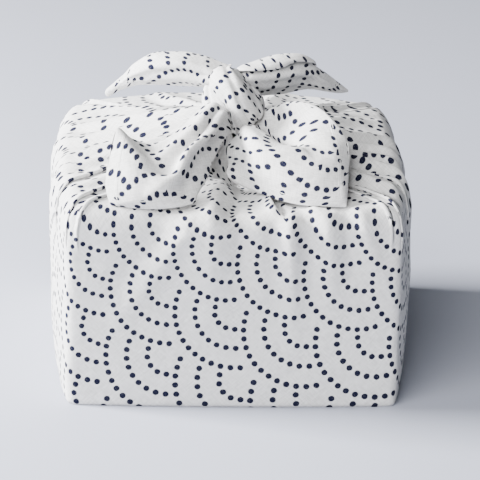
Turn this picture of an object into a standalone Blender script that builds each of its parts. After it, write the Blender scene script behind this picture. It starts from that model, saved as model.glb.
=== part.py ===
"""A furoshiki wrap: one square cloth drawn up round a box-shaped parcel and tied.

The cloth hides what it wraps, so cloth and parcel are one filled solid. Its skin is the
outside of the cloth: four bowed panels, the swelling top whose folds run to the knot, the
band of the knot, and the four tails that end in the cloth's corners.

X is across the front, Y runs to the back, Z is up. The origin is at the middle of the
base, on the surface that the parcel stands on.
"""

import math
from typing import NamedTuple

import bmesh
import bpy
from mathutils import Vector

NAME = "furoshiki_wrap"
MM = 0.001

HALF_SIDE = 74.0
EDGE_HEIGHT = 84.0
TOP_HEIGHT = 90.5
CORNER_POWER = 40.0
POINTS_PER_SIDE = 26
CORNER_CROWDING = 0.4

BOW_FRONT = 3.0
BOW_SIDE = 9.0
BOW_BACK = 5.0
BOW_POWER = 2.4
BOW_POWER_TO_BACK = 9.0
BOW_RIGHT_AT_TOP = 0.72

SHOULDER_START = 0.90
NECK_RISE = 9.0
NECK_POWER = 2.0
COLUMN_RISE = 12.0
COLUMN_RADIUS = 10.0
BACK_SWELL = 9.5
BACK_SWELL_FROM = -20.0
SWELL_POWER = 2.5
SIDE_SWELL = 5.0
ROUND_REACH = 0.75
GATHER_POWER = 1.3
FOLD_POWER = 0.6
PANEL_STEP = 1.6
STEP_WIDTH = 3.5
PLEAT_WIDTH_DEG = 7.0
STEP_EASE_DEG = 16.0
STEP_TURN_DEG = 60.0
STEP_RUN = (16.0, 42.0)

KNOT = Vector((1.5, -1.5, 117.0))
KNOT_RADII = Vector((12.5, 12.5, 16.5))
KNOT_SEGMENTS = 20
KNOT_RINGS = 12
NECK_CENTRE = Vector((4.0, -1.0))

ROWS_BETWEEN = 3
ACROSS = 9
EDGE_SHARE = 0.5
ON_SIDE = 0.999

CLOTH_COLOUR = (0.86, 0.86, 0.85, 1.0)
CLOTH_ROUGHNESS = 0.9


class SideRing(NamedTuple):
    """A level of the upright sides: share of the edge height, inset and share of the bow."""

    height: float
    inset: float
    bow: float


class Fold(NamedTuple):
    """A soft ridge that runs out from the knot.

    The heading is in degrees from +X, the rest in millimetres from the knot's middle.
    """

    name: str
    heading: float
    half_width: float
    height: float
    start: float
    end: float


class Gather(NamedTuple):
    """A broad lift of the cloth on its way up to the knot.

    The heading and the spread are in degrees, the height and the radius in millimetres.
    """

    name: str
    heading: float
    spread: float
    height: float
    radius: float


class Drape(NamedTuple):
    """A soft ridge that runs down an upright side from the top edge.

    The side is given by its outward direction, and at is the place along it in millimetres
    from its middle, towards +X or +Y. The ridge fades out at the height low.
    """

    name: str
    side: tuple[int, int]
    at: float
    half_width: float
    height: float
    low: float


class Section(NamedTuple):
    """A cut across a band or a tail: five points of its outer face, and its thickness.

    Filled is 0 where the cut is a curved sheet and 1 where it is a roll, filled to its chord.
    """

    name: str
    near: tuple[float, float, float]
    second: tuple[float, float, float]
    middle: tuple[float, float, float]
    fourth: tuple[float, float, float]
    far: tuple[float, float, float]
    thick: float
    filled: float


SIDE_RINGS = (
    SideRing(0.00, 1.2, 0.60),
    SideRing(0.018, 0.3, 0.70),
    SideRing(0.10, 0.0, 0.84),
    SideRing(0.25, 0.0, 0.96),
    SideRing(0.42, 0.0, 1.00),
    SideRing(0.60, 0.0, 1.00),
    SideRing(0.78, 0.0, 0.95),
    SideRing(0.90, 0.0, 0.93),
    SideRing(1.00, 0.2, 0.90),
)

TOP_REACHES = (
    0.993, 0.975, 0.95, 0.92, 0.88, 0.82, 0.75, 0.67, 0.59, 0.51, 0.43, 0.36, 0.30, 0.25, 0.205,
    0.165, 0.135, 0.11
)

FOLDS = (
    Fold("front tongue", -101.0, 8.5, 5.0, 14.0, 84.0),
    Fold("front left ripple", -120.0, 5.0, 2.0, 35.0, 80.0),
    Fold("front right ridge", -79.0, 3.6, 3.2, 30.0, 92.0),
    Fold("front right ripple", -66.0, 4.5, 2.2, 26.0, 84.0),
    Fold("right low fold", -36.0, 5.0, 3.0, 24.0, 92.0),
    Fold("right front fold", -22.0, 5.0, 3.2, 18.0, 86.0),
    Fold("right middle fold", -6.0, 5.5, 3.0, 18.0, 88.0),
    Fold("right back fold", 12.0, 6.0, 3.2, 18.0, 90.0),
    Fold("right far fold", 31.0, 6.0, 2.6, 22.0, 92.0),
    Fold("back right fold", 66.0, 6.5, 3.0, 18.0, 84.0),
    Fold("back middle fold", 90.0, 6.0, 3.0, 18.0, 84.0),
    Fold("back left fold", 114.0, 6.5, 3.0, 18.0, 84.0),
    Fold("left far fold", 149.0, 6.0, 2.6, 22.0, 92.0),
    Fold("left back fold", 167.0, 5.5, 3.0, 18.0, 90.0),
    Fold("left middle fold", 184.0, 5.5, 3.2, 18.0, 88.0),
    Fold("left front fold", 203.0, 5.0, 2.6, 20.0, 88.0),
)

GATHERS = (
    Gather("left", 176.0, 48.0, 24.0, 76.0),
    Gather("back", 95.0, 40.0, 12.0, 70.0),
    Gather("right", 28.0, 38.0, 12.0, 74.0),
)

DRAPES = (
    Drape("front tongue", (0, -1), -10.0, 9.0, 2.6, 30.0),
    Drape("front right ridge", (0, -1), 25.0, 4.5, 2.4, 26.0),
    Drape("front left ripple", (0, -1), -36.0, 6.5, 1.5, 42.0),
    Drape("front right ripple", (0, -1), 52.0, 6.5, 1.6, 44.0),
    Drape("right front", (1, 0), -38.0, 7.0, 2.0, 30.0),
    Drape("right middle", (1, 0), 8.0, 8.0, 1.8, 40.0),
    Drape("left front", (-1, 0), -30.0, 7.0, 1.8, 36.0),
    Drape("left back", (-1, 0), 24.0, 8.0, 2.0, 32.0),
    Drape("back left", (0, 1), -20.0, 7.5, 2.0, 34.0),
    Drape("back right", (0, 1), 26.0, 6.5, 1.8, 40.0),
)

BAND = (
    Section(
        "behind",
        (-12, 10, 112), (-9, 12, 115), (-5, 13, 117), (-1, 12, 117), (3, 10, 115),
        6.0,
        1.0,
    ),
    Section(
        "back of crown",
        (-13, 10, 121), (-11.5, 10, 127), (-8, 11, 130.5), (-3, 11, 131.5), (2, 10, 128),
        6.0,
        1.0,
    ),
    Section(
        "crown",
        (-12.5, 3, 128), (-11.5, 0, 133), (-7.5, -1, 136.5), (-1.5, 0, 137), (3, 4, 133),
        6.0,
        1.0,
    ),
    Section(
        "brow",
        (-9, -6, 126.5), (-8.5, -9, 130), (-4.5, -10.5, 134), (2, -8, 134.5), (8, -2, 128.5),
        6.0,
        1.0,
    ),
    Section(
        "upper face",
        (-5.5, -10, 123.5), (-4.5, -13, 127), (-1, -15, 130), (5.5, -12.5, 129.5), (11.5, -5, 124),
        6.0,
        1.0,
    ),
    Section(
        "face",
        (-2, -12, 119), (-2, -15, 122), (1, -18, 125), (7.5, -15, 124.5), (14, -8, 119),
        6.0,
        1.0,
    ),
    Section(
        "chin",
        (-0.5, -13, 114), (0.5, -15, 117), (3.5, -18, 120), (9, -15.5, 119.5), (13.5, -10, 115.5),
        6.0,
        1.0,
    ),
    Section(
        "tuck",
        (1, -11, 109), (3, -13, 111), (6, -15, 112.5), (9, -14, 113.5), (10.5, -11, 113.5),
        6.0,
        1.0,
    ),
    Section(
        "under",
        (4, -4, 102.5), (5, -6, 104.5), (6.5, -7, 105), (8, -6, 105.5), (9.5, -4, 105),
        5.0,
        1.0,
    ),
)

FRONT_LEFT_TAIL = (
    Section("end", (-6, 1, 117), (-4, -5, 119), (-2, -9, 118.5), (0, -9, 115), (2, -8, 109), 9.0, 1.0),
    Section(
        "lobe",
        (-13, -6, 119), (-9.5, -14, 123), (-6.5, -21, 123), (-4.5, -22, 119.5), (-1.5, -19, 112),
        8.0,
        0.9,
    ),
    Section(
        "gather",
        (-20, -16, 115), (-15.5, -28, 120), (-12, -34, 119.5), (-10, -33, 115.5), (-5.5, -27, 109),
        6.5,
        0.7,
    ),
    Section(
        "spread",
        (-28.5, -28, 112), (-23, -38, 115.5), (-18.5, -44, 116), (-15, -45, 113.5), (-9.5, -39, 105),
        5.0,
        0.4,
    ),
    Section(
        "fall",
        (-37.5, -37, 111.5), (-31, -46, 111.5), (-25, -52, 111.5), (-20, -54, 110), (-12.5, -50, 100.5),
        4.0,
        0.2,
    ),
    Section(
        "below",
        (-45.5, -40, 115), (-38, -52, 110), (-30.5, -60, 106.5), (-24, -62, 103.5), (-17, -62, 98),
        3.0,
        0.0,
    ),
    Section(
        "corners",
        (-52.5, -43, 120), (-46, -57, 113.5), (-39, -65, 107), (-30, -69.5, 99.5), (-21, -70, 95),
        2.0,
        0.0,
    ),
    Section(
        "hem",
        (-57, -61, 103), (-52, -67, 100.5), (-46.5, -71, 98), (-42, -72, 96), (-37.5, -72, 93.5),
        2.0,
        0.0,
    ),
    Section(
        "tip",
        (-57, -68, 96), (-56.5, -69, 95.5), (-56, -70, 95), (-55, -70.5, 94.5), (-54, -71, 94),
        2.0,
        0.0,
    ),
)

FRONT_RIGHT_TAIL = (
    Section(
        "end",
        (3, -5, 106.5), (6, -8, 110.5), (8, -8, 112.5), (10, -5, 112.5), (11, -1, 114),
        9.0,
        1.0,
    ),
    Section(
        "roll",
        (-1.5, -18, 106), (3.5, -24, 114), (11, -21, 115), (15, -13, 109), (16, -7, 117.5),
        6.0,
        0.3,
    ),
    Section(
        "narrow",
        (-2.5, -25, 104), (5.5, -34, 114), (16.5, -31, 114.5), (19.5, -19, 107.5), (24.5, -11, 122.5),
        4.5,
        0.0,
    ),
    Section(
        "pocket",
        (-2, -32, 101), (9, -45, 111.5), (22.5, -42, 114), (25.5, -27, 107.5), (33.5, -17, 124),
        3.5,
        0.0,
    ),
    Section(
        "pocket end",
        (-1.5, -42, 97.5), (12, -54, 107.5), (29.5, -50, 115), (34.5, -38, 113.5), (42.5, -26, 121.5),
        3.0,
        0.0,
    ),
    Section(
        "right end",
        (14, -58, 95), (24.5, -64, 101.5), (35, -61, 108), (43.5, -50, 112), (50, -37, 114.5),
        2.0,
        0.0,
    ),
    Section(
        "hem",
        (32, -68, 94.5), (38.5, -69, 97), (43.5, -67, 100), (47.5, -62, 103.5), (50.5, -54, 105.5),
        2.0,
        0.0,
    ),
    Section(
        "tip",
        (45, -70, 93.5), (46.5, -70.5, 94.5), (48, -70, 95.5), (49, -69, 96.5), (49.5, -67, 97),
        2.0,
        0.0,
    ),
)

BACK_LEFT_TAIL = (
    Section(
        "end",
        (-0.5, 6, 135), (-1.5, 3, 134), (-2, 1, 132.5), (-3, 1, 130), (-4, 3, 126.5),
        3.5,
        1.0,
    ),
    Section(
        "root",
        (-5.5, 7, 138.5), (-7, 1, 137.5), (-8, -3, 135.5), (-9, -3, 132), (-10, 0, 128),
        3.5,
        1.0,
    ),
    Section(
        "folded",
        (-13, 9, 140), (-13.5, 3, 138), (-14, -1, 135), (-14.5, 0, 131.5), (-15, 5, 127),
        4.0,
        0.8,
    ),
    Section(
        "turned",
        (-24, 10, 139.5), (-23, 5, 137.5), (-23, 1.5, 135), (-22.5, 3, 131), (-22, 8, 126),
        4.0,
        0.6,
    ),
    Section(
        "broad",
        (-35.5, 13, 138.5), (-34.5, 8, 136.5), (-33.5, 6, 133), (-33, 8, 128.5), (-33, 13, 123.5),
        3.5,
        0.5,
    ),
    Section(
        "leaf",
        (-45, 17, 132), (-45, 14, 130), (-44.5, 13.5, 127.5), (-44, 15, 124.5), (-44, 19, 121.5),
        3.0,
        0.5,
    ),
    Section(
        "narrow",
        (-50, 22, 123.5), (-50.5, 20, 123), (-51, 20, 121.5), (-51, 21, 120), (-51.5, 23, 118.5),
        2.5,
        0.5,
    ),
    Section(
        "tip",
        (-57.5, 25, 116), (-58, 24.7, 115.7), (-58, 24.6, 115.2), (-58, 24.7, 114.7), (-57.5, 25, 114.2),
        2.0,
        1.0,
    ),
)

BACK_RIGHT_TAIL = (
    Section(
        "end",
        (5, 5, 124), (4.5, 3, 127), (4.5, 2, 129.5), (4, 3, 131.5), (3.5, 5, 132.5),
        8.0,
        1.0,
    ),
    Section("root", (8, 4, 123.5), (7.5, 1, 127.5), (7, -1, 131), (6.5, 1, 133), (6, 5, 134), 7.0, 1.0),
    Section(
        "gather",
        (14, 9, 120.5), (13.5, 4, 126), (13.5, 1, 130.5), (13.5, 3, 134), (13.5, 9, 135.5),
        5.5,
        1.0,
    ),
    Section(
        "folded",
        (22, 14, 119.5), (21.5, 8, 125.5), (21.5, 4.5, 130.5), (21.5, 6, 135), (21.5, 12, 137),
        4.5,
        0.7,
    ),
    Section(
        "broad",
        (31.5, 18, 120), (30.5, 12, 125.5), (30.5, 8.5, 130.5), (30.5, 10, 134), (31, 15, 136.5),
        3.5,
        0.5,
    ),
    Section(
        "corner",
        (38, 21, 119.5), (38, 16, 123.5), (37.5, 13.5, 128), (37.5, 14, 131), (38, 17, 132.5),
        3.0,
        0.5,
    ),
    Section(
        "leaf",
        (43.5, 22, 118.5), (43, 18, 121.5), (42.5, 16.5, 124.5), (42, 17, 126.5), (41.5, 19, 129),
        2.5,
        0.5,
    ),
    Section(
        "narrow",
        (50, 25, 116.5), (50, 23, 118.5), (49.5, 22, 120), (49, 22, 121.5), (48.5, 23.5, 123),
        2.0,
        0.5,
    ),
    Section(
        "tip",
        (55, 27, 116), (55.3, 26.7, 116.5), (55.3, 26.6, 117), (55, 26.7, 117.5), (54.5, 27, 118),
        2.0,
        1.0,
    ),
)


def smooth_step(value):
    """0 below 0, 1 above 1 and an easy S between them."""
    share = min(max(value, 0.0), 1.0)
    return share * share * (3.0 - 2.0 * share)


def turn_between(angle, other):
    """The signed turn in degrees from one heading to another, -180 to 180."""
    return (angle - other + 180.0) % 360.0 - 180.0


def rim_directions():
    """Points round the unit square, closer together at its corners, from front left."""
    corners = ((-1, -1), (1, -1), (1, 1), (-1, 1))
    directions = []
    for index, corner in enumerate(corners):
        following = corners[(index + 1) % 4]
        for step in range(POINTS_PER_SIDE):
            even = 2.0 * step / POINTS_PER_SIDE - 1.0
            crowded = math.sin(even * math.pi / 2)
            share = 0.5 + 0.5 * ((1.0 - CORNER_CROWDING) * even + CORNER_CROWDING * crowded)
            directions.append(Vector(corner).lerp(Vector(following), share))
    return directions


def rounded(direction):
    """The square's point drawn in where its corner is rounded."""
    reach = (abs(direction.x) ** CORNER_POWER + abs(direction.y) ** CORNER_POWER) ** (
        1.0 / CORNER_POWER
    )
    return direction / reach


def bowed(direction, height):
    """How far the panel stands out past the plain square here, as a vector."""
    across_front = max(0.0, 1.0 - abs(direction.x) ** BOW_POWER)
    power = BOW_POWER_TO_BACK if direction.y > 0 else BOW_POWER
    across_side = max(0.0, 1.0 - abs(direction.y) ** power)
    if direction.x > 0:
        upward = smooth_step(2.0 * height / EDGE_HEIGHT - 1.0)
        across_side *= 1.0 + (BOW_RIGHT_AT_TOP - 1.0) * upward
    depth = BOW_BACK if direction.y > 0 else BOW_FRONT
    return Vector((direction.x * BOW_SIDE * across_side, direction.y * depth * across_front))


def draped(direction, height):
    """How far the ridges down the sides stand out at this height, as a vector."""
    out = Vector((0.0, 0.0))
    for drape in DRAPES:
        side = Vector(drape.side)
        if direction.dot(side) > ON_SIDE:
            place = direction.dot(Vector((abs(side.y), abs(side.x)))) * HALF_SIDE
            strength = smooth_step((height - drape.low) / (EDGE_HEIGHT - drape.low))
            ridge = math.exp(-(((place - drape.at) / drape.half_width) ** 2))
            out += side * drape.height * strength * ridge
    return out


def rim(direction, inset, bow, height):
    """The outline's point in this direction at one level."""
    out = bowed(direction, height) * bow + draped(direction, height)
    return rounded(direction) * (HALF_SIDE - inset) + out


def fold_height(point):
    """What the folds that run to the knot add at this place of the top."""
    arm = point - NECK_CENTRE
    distance = arm.length
    heading = math.degrees(math.atan2(arm.y, arm.x))
    height = 0.0
    for fold in FOLDS:
        off = math.radians(turn_between(heading, fold.heading)) * distance
        along = (distance - fold.start) / (fold.end - fold.start)
        if 0.0 < along < 1.0:
            ridge = math.exp(-((off / fold.half_width) ** 2))
            height += fold.height * ridge * math.sin(math.pi * along) ** FOLD_POWER
    return height


def gather_height(point):
    """How far the broad gathers lift the cloth here."""
    arm = point - NECK_CENTRE
    heading = math.degrees(math.atan2(arm.y, arm.x))
    height = 0.0
    for gather in GATHERS:
        turn = turn_between(heading, gather.heading) / gather.spread
        nearness = max(0.0, 1.0 - arm.length / gather.radius)
        height += gather.height * math.exp(-turn * turn) * nearness ** GATHER_POWER
    return height


def step_height(point):
    """The side panels lie over the front and back ones, with a pleat at each corner."""
    arm = point - NECK_CENTRE
    distance = arm.length
    heading = math.degrees(math.atan2(arm.y, arm.x))
    height = 0.0
    for sign_x, sign_y in ((-1, -1), (1, -1), (1, 1), (-1, 1)):
        corner = Vector((sign_x * HALF_SIDE, sign_y * HALF_SIDE)) - NECK_CENTRE
        corner_heading = math.degrees(math.atan2(corner.y, corner.x))
        towards_side = -sign_x * sign_y
        turn = turn_between(heading, corner_heading) * towards_side
        if abs(turn) < STEP_TURN_DEG:
            for pleat in (0.0, PLEAT_WIDTH_DEG):
                off = math.radians(turn - pleat) * distance
                risen = smooth_step(off / STEP_WIDTH + 0.5)
                eased = smooth_step((turn - STEP_EASE_DEG) / STEP_EASE_DEG)
                height += PANEL_STEP * (risen - eased)
    run = (distance - STEP_RUN[0]) / (STEP_RUN[1] - STEP_RUN[0])
    return height * smooth_step(run)


def top_height(point, reach):
    """The height of the cloth over the top at this place."""
    knotward = (1.0 - reach) ** NECK_POWER * NECK_RISE
    across = max(0.0, 1.0 - abs(point.x / (HALF_SIDE + BOW_SIDE)) ** SWELL_POWER)
    backward = smooth_step((point.y - BACK_SWELL_FROM) / (HALF_SIDE - BACK_SWELL_FROM))
    sideward = smooth_step(abs(point.x) / HALF_SIDE) * (1.0 - backward * 0.5)
    column = math.exp(-(((point - NECK_CENTRE).length / COLUMN_RADIUS) ** 2))
    height = TOP_HEIGHT + knotward + COLUMN_RISE * column
    height += BACK_SWELL * across * backward + SIDE_SWELL * sideward
    height += fold_height(point) + gather_height(point) + step_height(point)
    edge = max(0.0, (reach - SHOULDER_START) / (1.0 - SHOULDER_START))
    return EDGE_HEIGHT + (height - EDGE_HEIGHT) * math.sqrt(max(0.0, 1.0 - edge * edge))


def body_rings():
    """The parcel's levels: up the sides, then in over the top to the neck."""
    directions = rim_directions()
    rings = []
    for level in SIDE_RINGS:
        height = level.height * EDGE_HEIGHT
        outline = [rim(way, level.inset, level.bow, height) for way in directions]
        rings.append([Vector((point.x, point.y, height)) for point in outline])
    last = SIDE_RINGS[-1]
    for reach in TOP_REACHES:
        squareness = smooth_step((reach - TOP_REACHES[-1]) / (ROUND_REACH - TOP_REACHES[-1]))
        ring = []
        for way in directions:
            square = rim(way, last.inset, last.bow, EDGE_HEIGHT) * reach
            circle = way.normalized() * HALF_SIDE * reach + NECK_CENTRE * (1.0 - reach)
            place = circle.lerp(square, squareness)
            ring.append(Vector((place.x, place.y, top_height(place, reach))))
        rings.append(ring)
    return rings


def curved(before, start, end, after, share):
    """A Catmull-Rom curve between two of its four points."""
    square = share * share
    cube = square * share
    return 0.5 * (
        2.0 * start
        + (end - before) * share
        + (2.0 * before - 5.0 * start + 4.0 * end - after) * square
        + (3.0 * start - 3.0 * end + after - before) * cube
    )


def between(sections):
    """The sections with smooth ones between them: five points, thickness and filled share."""
    rows = [
        (*(Vector(point) for point in item[1:-2]), item.thick, item.filled) for item in sections
    ]
    padded = [rows[0], *rows, rows[-1]]
    smooth = []
    for index in range(len(rows) - 1):
        for step in range(ROWS_BETWEEN):
            share = step / ROWS_BETWEEN
            group = padded[index : index + 4]
            smooth.append(tuple(curved(*column, share) for column in zip(*group)))
    smooth.append(rows[-1])
    return smooth


def along_section(points, share):
    """The point this share of the way through a section's points."""
    place = share * (len(points) - 1)
    index = min(int(place), len(points) - 2)
    padded = (points[0], *points, points[-1])
    return curved(*padded[index : index + 4], place - index)


def section_ring(row, following, previous):
    """The closed outline of one section: its outer face, then its inner face back again."""
    *points, thick, filled = row
    centre = len(points) // 2
    along = following[centre] - previous[centre]
    inward = (points[-1] - points[0]).cross(along).normalized()
    outer = []
    inner = []
    for step in range(ACROSS):
        share = step / (ACROSS - 1)
        point = along_section(points, share)
        depth = thick * (EDGE_SHARE + (1 - EDGE_SHARE) * math.sin(math.pi * share))
        chord = points[0].lerp(points[-1], share)
        outer.append(point)
        inner.append(point.lerp(chord, filled) + inward * depth)
    return outer + inner[::-1]


def strip_rings(sections):
    """The closed outlines along a band or tail."""
    rows = between(sections)
    last = len(rows) - 1
    return [
        section_ring(row, rows[min(index + 1, last)], rows[max(index - 1, 0)])
        for index, row in enumerate(rows)
    ]


def lofted(name, rings, collection):
    """A closed solid skinned through rings of equal count, flat at both ends."""
    shell = bmesh.new()
    made = bmesh.ops.create_circle(shell, cap_ends=True, segments=len(rings[0]), radius=1.0)
    ring = made["verts"]
    edges = list(shell.edges)
    for vertex, point in zip(ring, rings[0]):
        vertex.co = point * MM
    for points in rings[1:]:
        grown = bmesh.ops.extrude_edge_only(shell, edges=edges)["geom"]
        fresh = {item for item in grown if isinstance(item, bmesh.types.BMVert)}
        following = []
        for vertex in ring:
            across = (edge.other_vert(vertex) for edge in vertex.link_edges)
            following.append(next(other for other in across if other in fresh))
        ring = following
        for vertex, point in zip(ring, points):
            vertex.co = point * MM
        edges = [
            item
            for item in grown
            if isinstance(item, bmesh.types.BMEdge) and fresh.issuperset(item.verts)
        ]
    bmesh.ops.holes_fill(shell, edges=edges, sides=0)
    bmesh.ops.recalc_face_normals(shell, faces=shell.faces)
    mesh = bpy.data.meshes.new(name)
    shell.to_mesh(mesh)
    shell.free()
    solid = bpy.data.objects.new(name, mesh)
    collection.objects.link(solid)
    return solid


def knot_core(collection):
    """The rounded heart of the knot, under its band."""
    shell = bmesh.new()
    bmesh.ops.create_uvsphere(
        shell, u_segments=KNOT_SEGMENTS, v_segments=KNOT_RINGS, radius=1.0
    )
    for vertex in shell.verts:
        vertex.co = (KNOT + vertex.co * KNOT_RADII) * MM
    mesh = bpy.data.meshes.new("knot_core")
    shell.to_mesh(mesh)
    shell.free()
    made = bpy.data.objects.new("knot_core", mesh)
    collection.objects.link(made)
    return made


def cotton():
    """The matt off-white cotton."""
    material = bpy.data.materials.new("printed cotton")
    material.use_nodes = True
    shader = material.node_tree.nodes["Principled BSDF"]
    shader.inputs["Base Color"].default_value = CLOTH_COLOUR
    shader.inputs["Roughness"].default_value = CLOTH_ROUGHNESS
    shader.inputs["Metallic"].default_value = 0.0
    return material


def join(body, piece):
    """Unites a piece with the body and keeps it as a hidden guide."""
    union = body.modifiers.new(piece.name, "BOOLEAN")
    union.operation = "UNION"
    union.solver = "EXACT"
    union.object = piece
    piece.display_type = "WIRE"
    piece.hide_render = True


def main():
    """Builds the wrap in its own collection."""
    for leftover in list(bpy.data.objects):
        bpy.data.objects.remove(leftover, do_unlink=True)
    wrap = bpy.data.collections.new("Furoshiki wrap")
    shapes = bpy.data.collections.new("Shapes joined to the wrap")
    for collection in (wrap, shapes):
        bpy.context.scene.collection.children.link(collection)

    body = lofted(NAME, body_rings(), wrap)
    body.data.materials.append(cotton())
    join(body, knot_core(shapes))
    strips = {
        "knot_band": BAND,
        "front_left_tail": FRONT_LEFT_TAIL,
        "front_right_tail": FRONT_RIGHT_TAIL,
        "back_left_tail": BACK_LEFT_TAIL,
        "back_right_tail": BACK_RIGHT_TAIL,
    }
    for name, sections in strips.items():
        join(body, lofted(name, strip_rings(sections), shapes))
    body.data.shade_smooth()


main()
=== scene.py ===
"""Dresses the furoshiki wrap: a dotted cotton cloth tied round a box-shaped parcel.

The cloth is modelled as thin sheets that carry two UV maps. "cloth" gives metres on the flat
cloth, measured from its middle, and places the weave and the stitched hem. "print" is the
same with each panel's own small turn and stretch, and places the dotted waves.
"""

import logging
import math
from collections.abc import Callable, Iterable, Sequence
from dataclasses import dataclass, field
from enum import Enum
from typing import NamedTuple

import bmesh
import bpy
from mathutils import Matrix, Vector, noise

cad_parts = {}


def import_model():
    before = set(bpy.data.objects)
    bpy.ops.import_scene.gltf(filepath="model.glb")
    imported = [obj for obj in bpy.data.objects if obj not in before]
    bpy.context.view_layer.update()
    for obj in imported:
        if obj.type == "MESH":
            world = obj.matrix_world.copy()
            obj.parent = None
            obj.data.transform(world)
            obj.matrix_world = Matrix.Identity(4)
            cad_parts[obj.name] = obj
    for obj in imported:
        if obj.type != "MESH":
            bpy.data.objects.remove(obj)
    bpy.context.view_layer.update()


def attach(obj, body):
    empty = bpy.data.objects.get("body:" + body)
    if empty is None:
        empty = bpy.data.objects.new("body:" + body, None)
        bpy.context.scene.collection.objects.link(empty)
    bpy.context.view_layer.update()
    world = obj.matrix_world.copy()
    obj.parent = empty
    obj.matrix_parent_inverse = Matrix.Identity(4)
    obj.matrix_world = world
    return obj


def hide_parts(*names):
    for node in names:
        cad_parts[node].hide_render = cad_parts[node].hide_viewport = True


MM = 0.001
WELD = 0.02 * MM
DIAGONAL = math.sqrt(0.5)
NODE = "furoshiki_wrap"
BODY = "root"
CLOTH_MAP = "cloth"
PRINT_MAP = "print"
NOISE_SEED = 7

log = logging.getLogger("furoshiki")

Point = tuple[float, float, float]
Colour = tuple[float, float, float, float]
Place = Callable[[float, float], Vector]


class Side(Enum):
    """The four upright sides of the parcel, in order round it from the front."""

    FRONT = 0
    RIGHT = 1
    BACK = 2
    LEFT = 3


def smooth_step(value: float) -> float:
    """0 below 0, 1 above 1 and an easy S between them."""
    share = min(max(value, 0.0), 1.0)
    return share * share * (3.0 - 2.0 * share)


def mix(first: float, second: float, share: float) -> float:
    """The value a share of the way from the first to the second."""
    return first + (second - first) * share


def turn_between(angle: float, other: float) -> float:
    """The signed turn in degrees from one heading to another, -180 to 180."""
    return (angle - other + 180.0) % 360.0 - 180.0


def through(values: Sequence, share: float):
    """A Catmull-Rom curve through numbers or vectors.

    Args:
        values: the curve's points, evenly spaced.
        share: 0 at the first point, 1 at the last.

    Returns:
        The number or vector on the curve.
    """
    last = len(values) - 1
    place = min(max(share, 0.0), 1.0) * last
    index = min(int(place), last - 1)
    step = place - index
    before = values[max(index - 1, 0)]
    start = values[index]
    end = values[index + 1]
    after = values[min(index + 2, last)]
    square = step * step
    return (
        start * 2.0
        + (end - before) * step
        + (before * 2.0 - start * 5.0 + end * 4.0 - after) * square
        + (start * 3.0 - end * 3.0 + after - before) * (square * step)
    ) * 0.5


@dataclass(frozen=True)
class PrintLay:
    """How the print lies on a piece: a turn in degrees about a pivot, then a shift in mm.

    bend turns it further across the piece, in degrees for each 100 mm, and scale draws it
    smaller than on the flat cloth where above 1.
    """

    turn: float = 0.0
    pivot: tuple[float, float] = (0.0, 0.0)
    shift: tuple[float, float] = (0.0, 0.0)
    bend: float = 0.0
    scale: float = 1.0

    def lay(self, across: float, along: float) -> tuple[float, float]:
        """The print's coordinates for a place on the flat cloth, both in mm."""
        spot = complex(across - self.pivot[0], along - self.pivot[1]) * self.scale
        angle = math.radians(self.turn)
        curl = math.radians(self.bend) / 100.0
        laid = spot * complex(math.cos(angle), math.sin(angle)) + 0.5j * curl * spot * spot
        return (
            laid.real + self.pivot[0] + self.shift[0],
            laid.imag + self.pivot[1] + self.shift[1],
        )


@dataclass(frozen=True)
class Cloth:
    """The flat cloth: one square, laid cornerwise under the parcel. Millimetres."""

    side: float = 500.0
    hem: float = 6.0
    thickness: float = 0.45

    @property
    def half_diagonal(self) -> float:
        """From the cloth's middle to each corner."""
        return self.side / math.sqrt(2.0)


CLOTH = Cloth()


class Flat(NamedTuple):
    """A piece's share of the flat cloth: width and length in metres, area in square metres."""

    width: float
    length: float
    area: float


class Value:
    """A shader number that plain arithmetic works on."""

    def __init__(self, bench: "Bench", socket: bpy.types.NodeSocket) -> None:
        """Holds one output in the bench's tree."""
        self.bench = bench
        self.socket = socket

    def __add__(self, other: "Value | float") -> "Value":
        """The sum of the two."""
        return self.bench.math("ADD", self, other)

    def __sub__(self, other: "Value | float") -> "Value":
        """What is left when the other is taken away."""
        return self.bench.math("SUBTRACT", self, other)

    def __mul__(self, other: "Value | float") -> "Value":
        """The product of the two."""
        return self.bench.math("MULTIPLY", self, other)

    def __truediv__(self, other: "Value | float") -> "Value":
        """This one divided by the other."""
        return self.bench.math("DIVIDE", self, other)

    def __mod__(self, other: "Value | float") -> "Value":
        """What is over after whole steps of the other."""
        return self.bench.math("FLOORED_MODULO", self, other)

    def __abs__(self) -> "Value":
        """The value without its sign."""
        return self.bench.math("ABSOLUTE", self)


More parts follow.
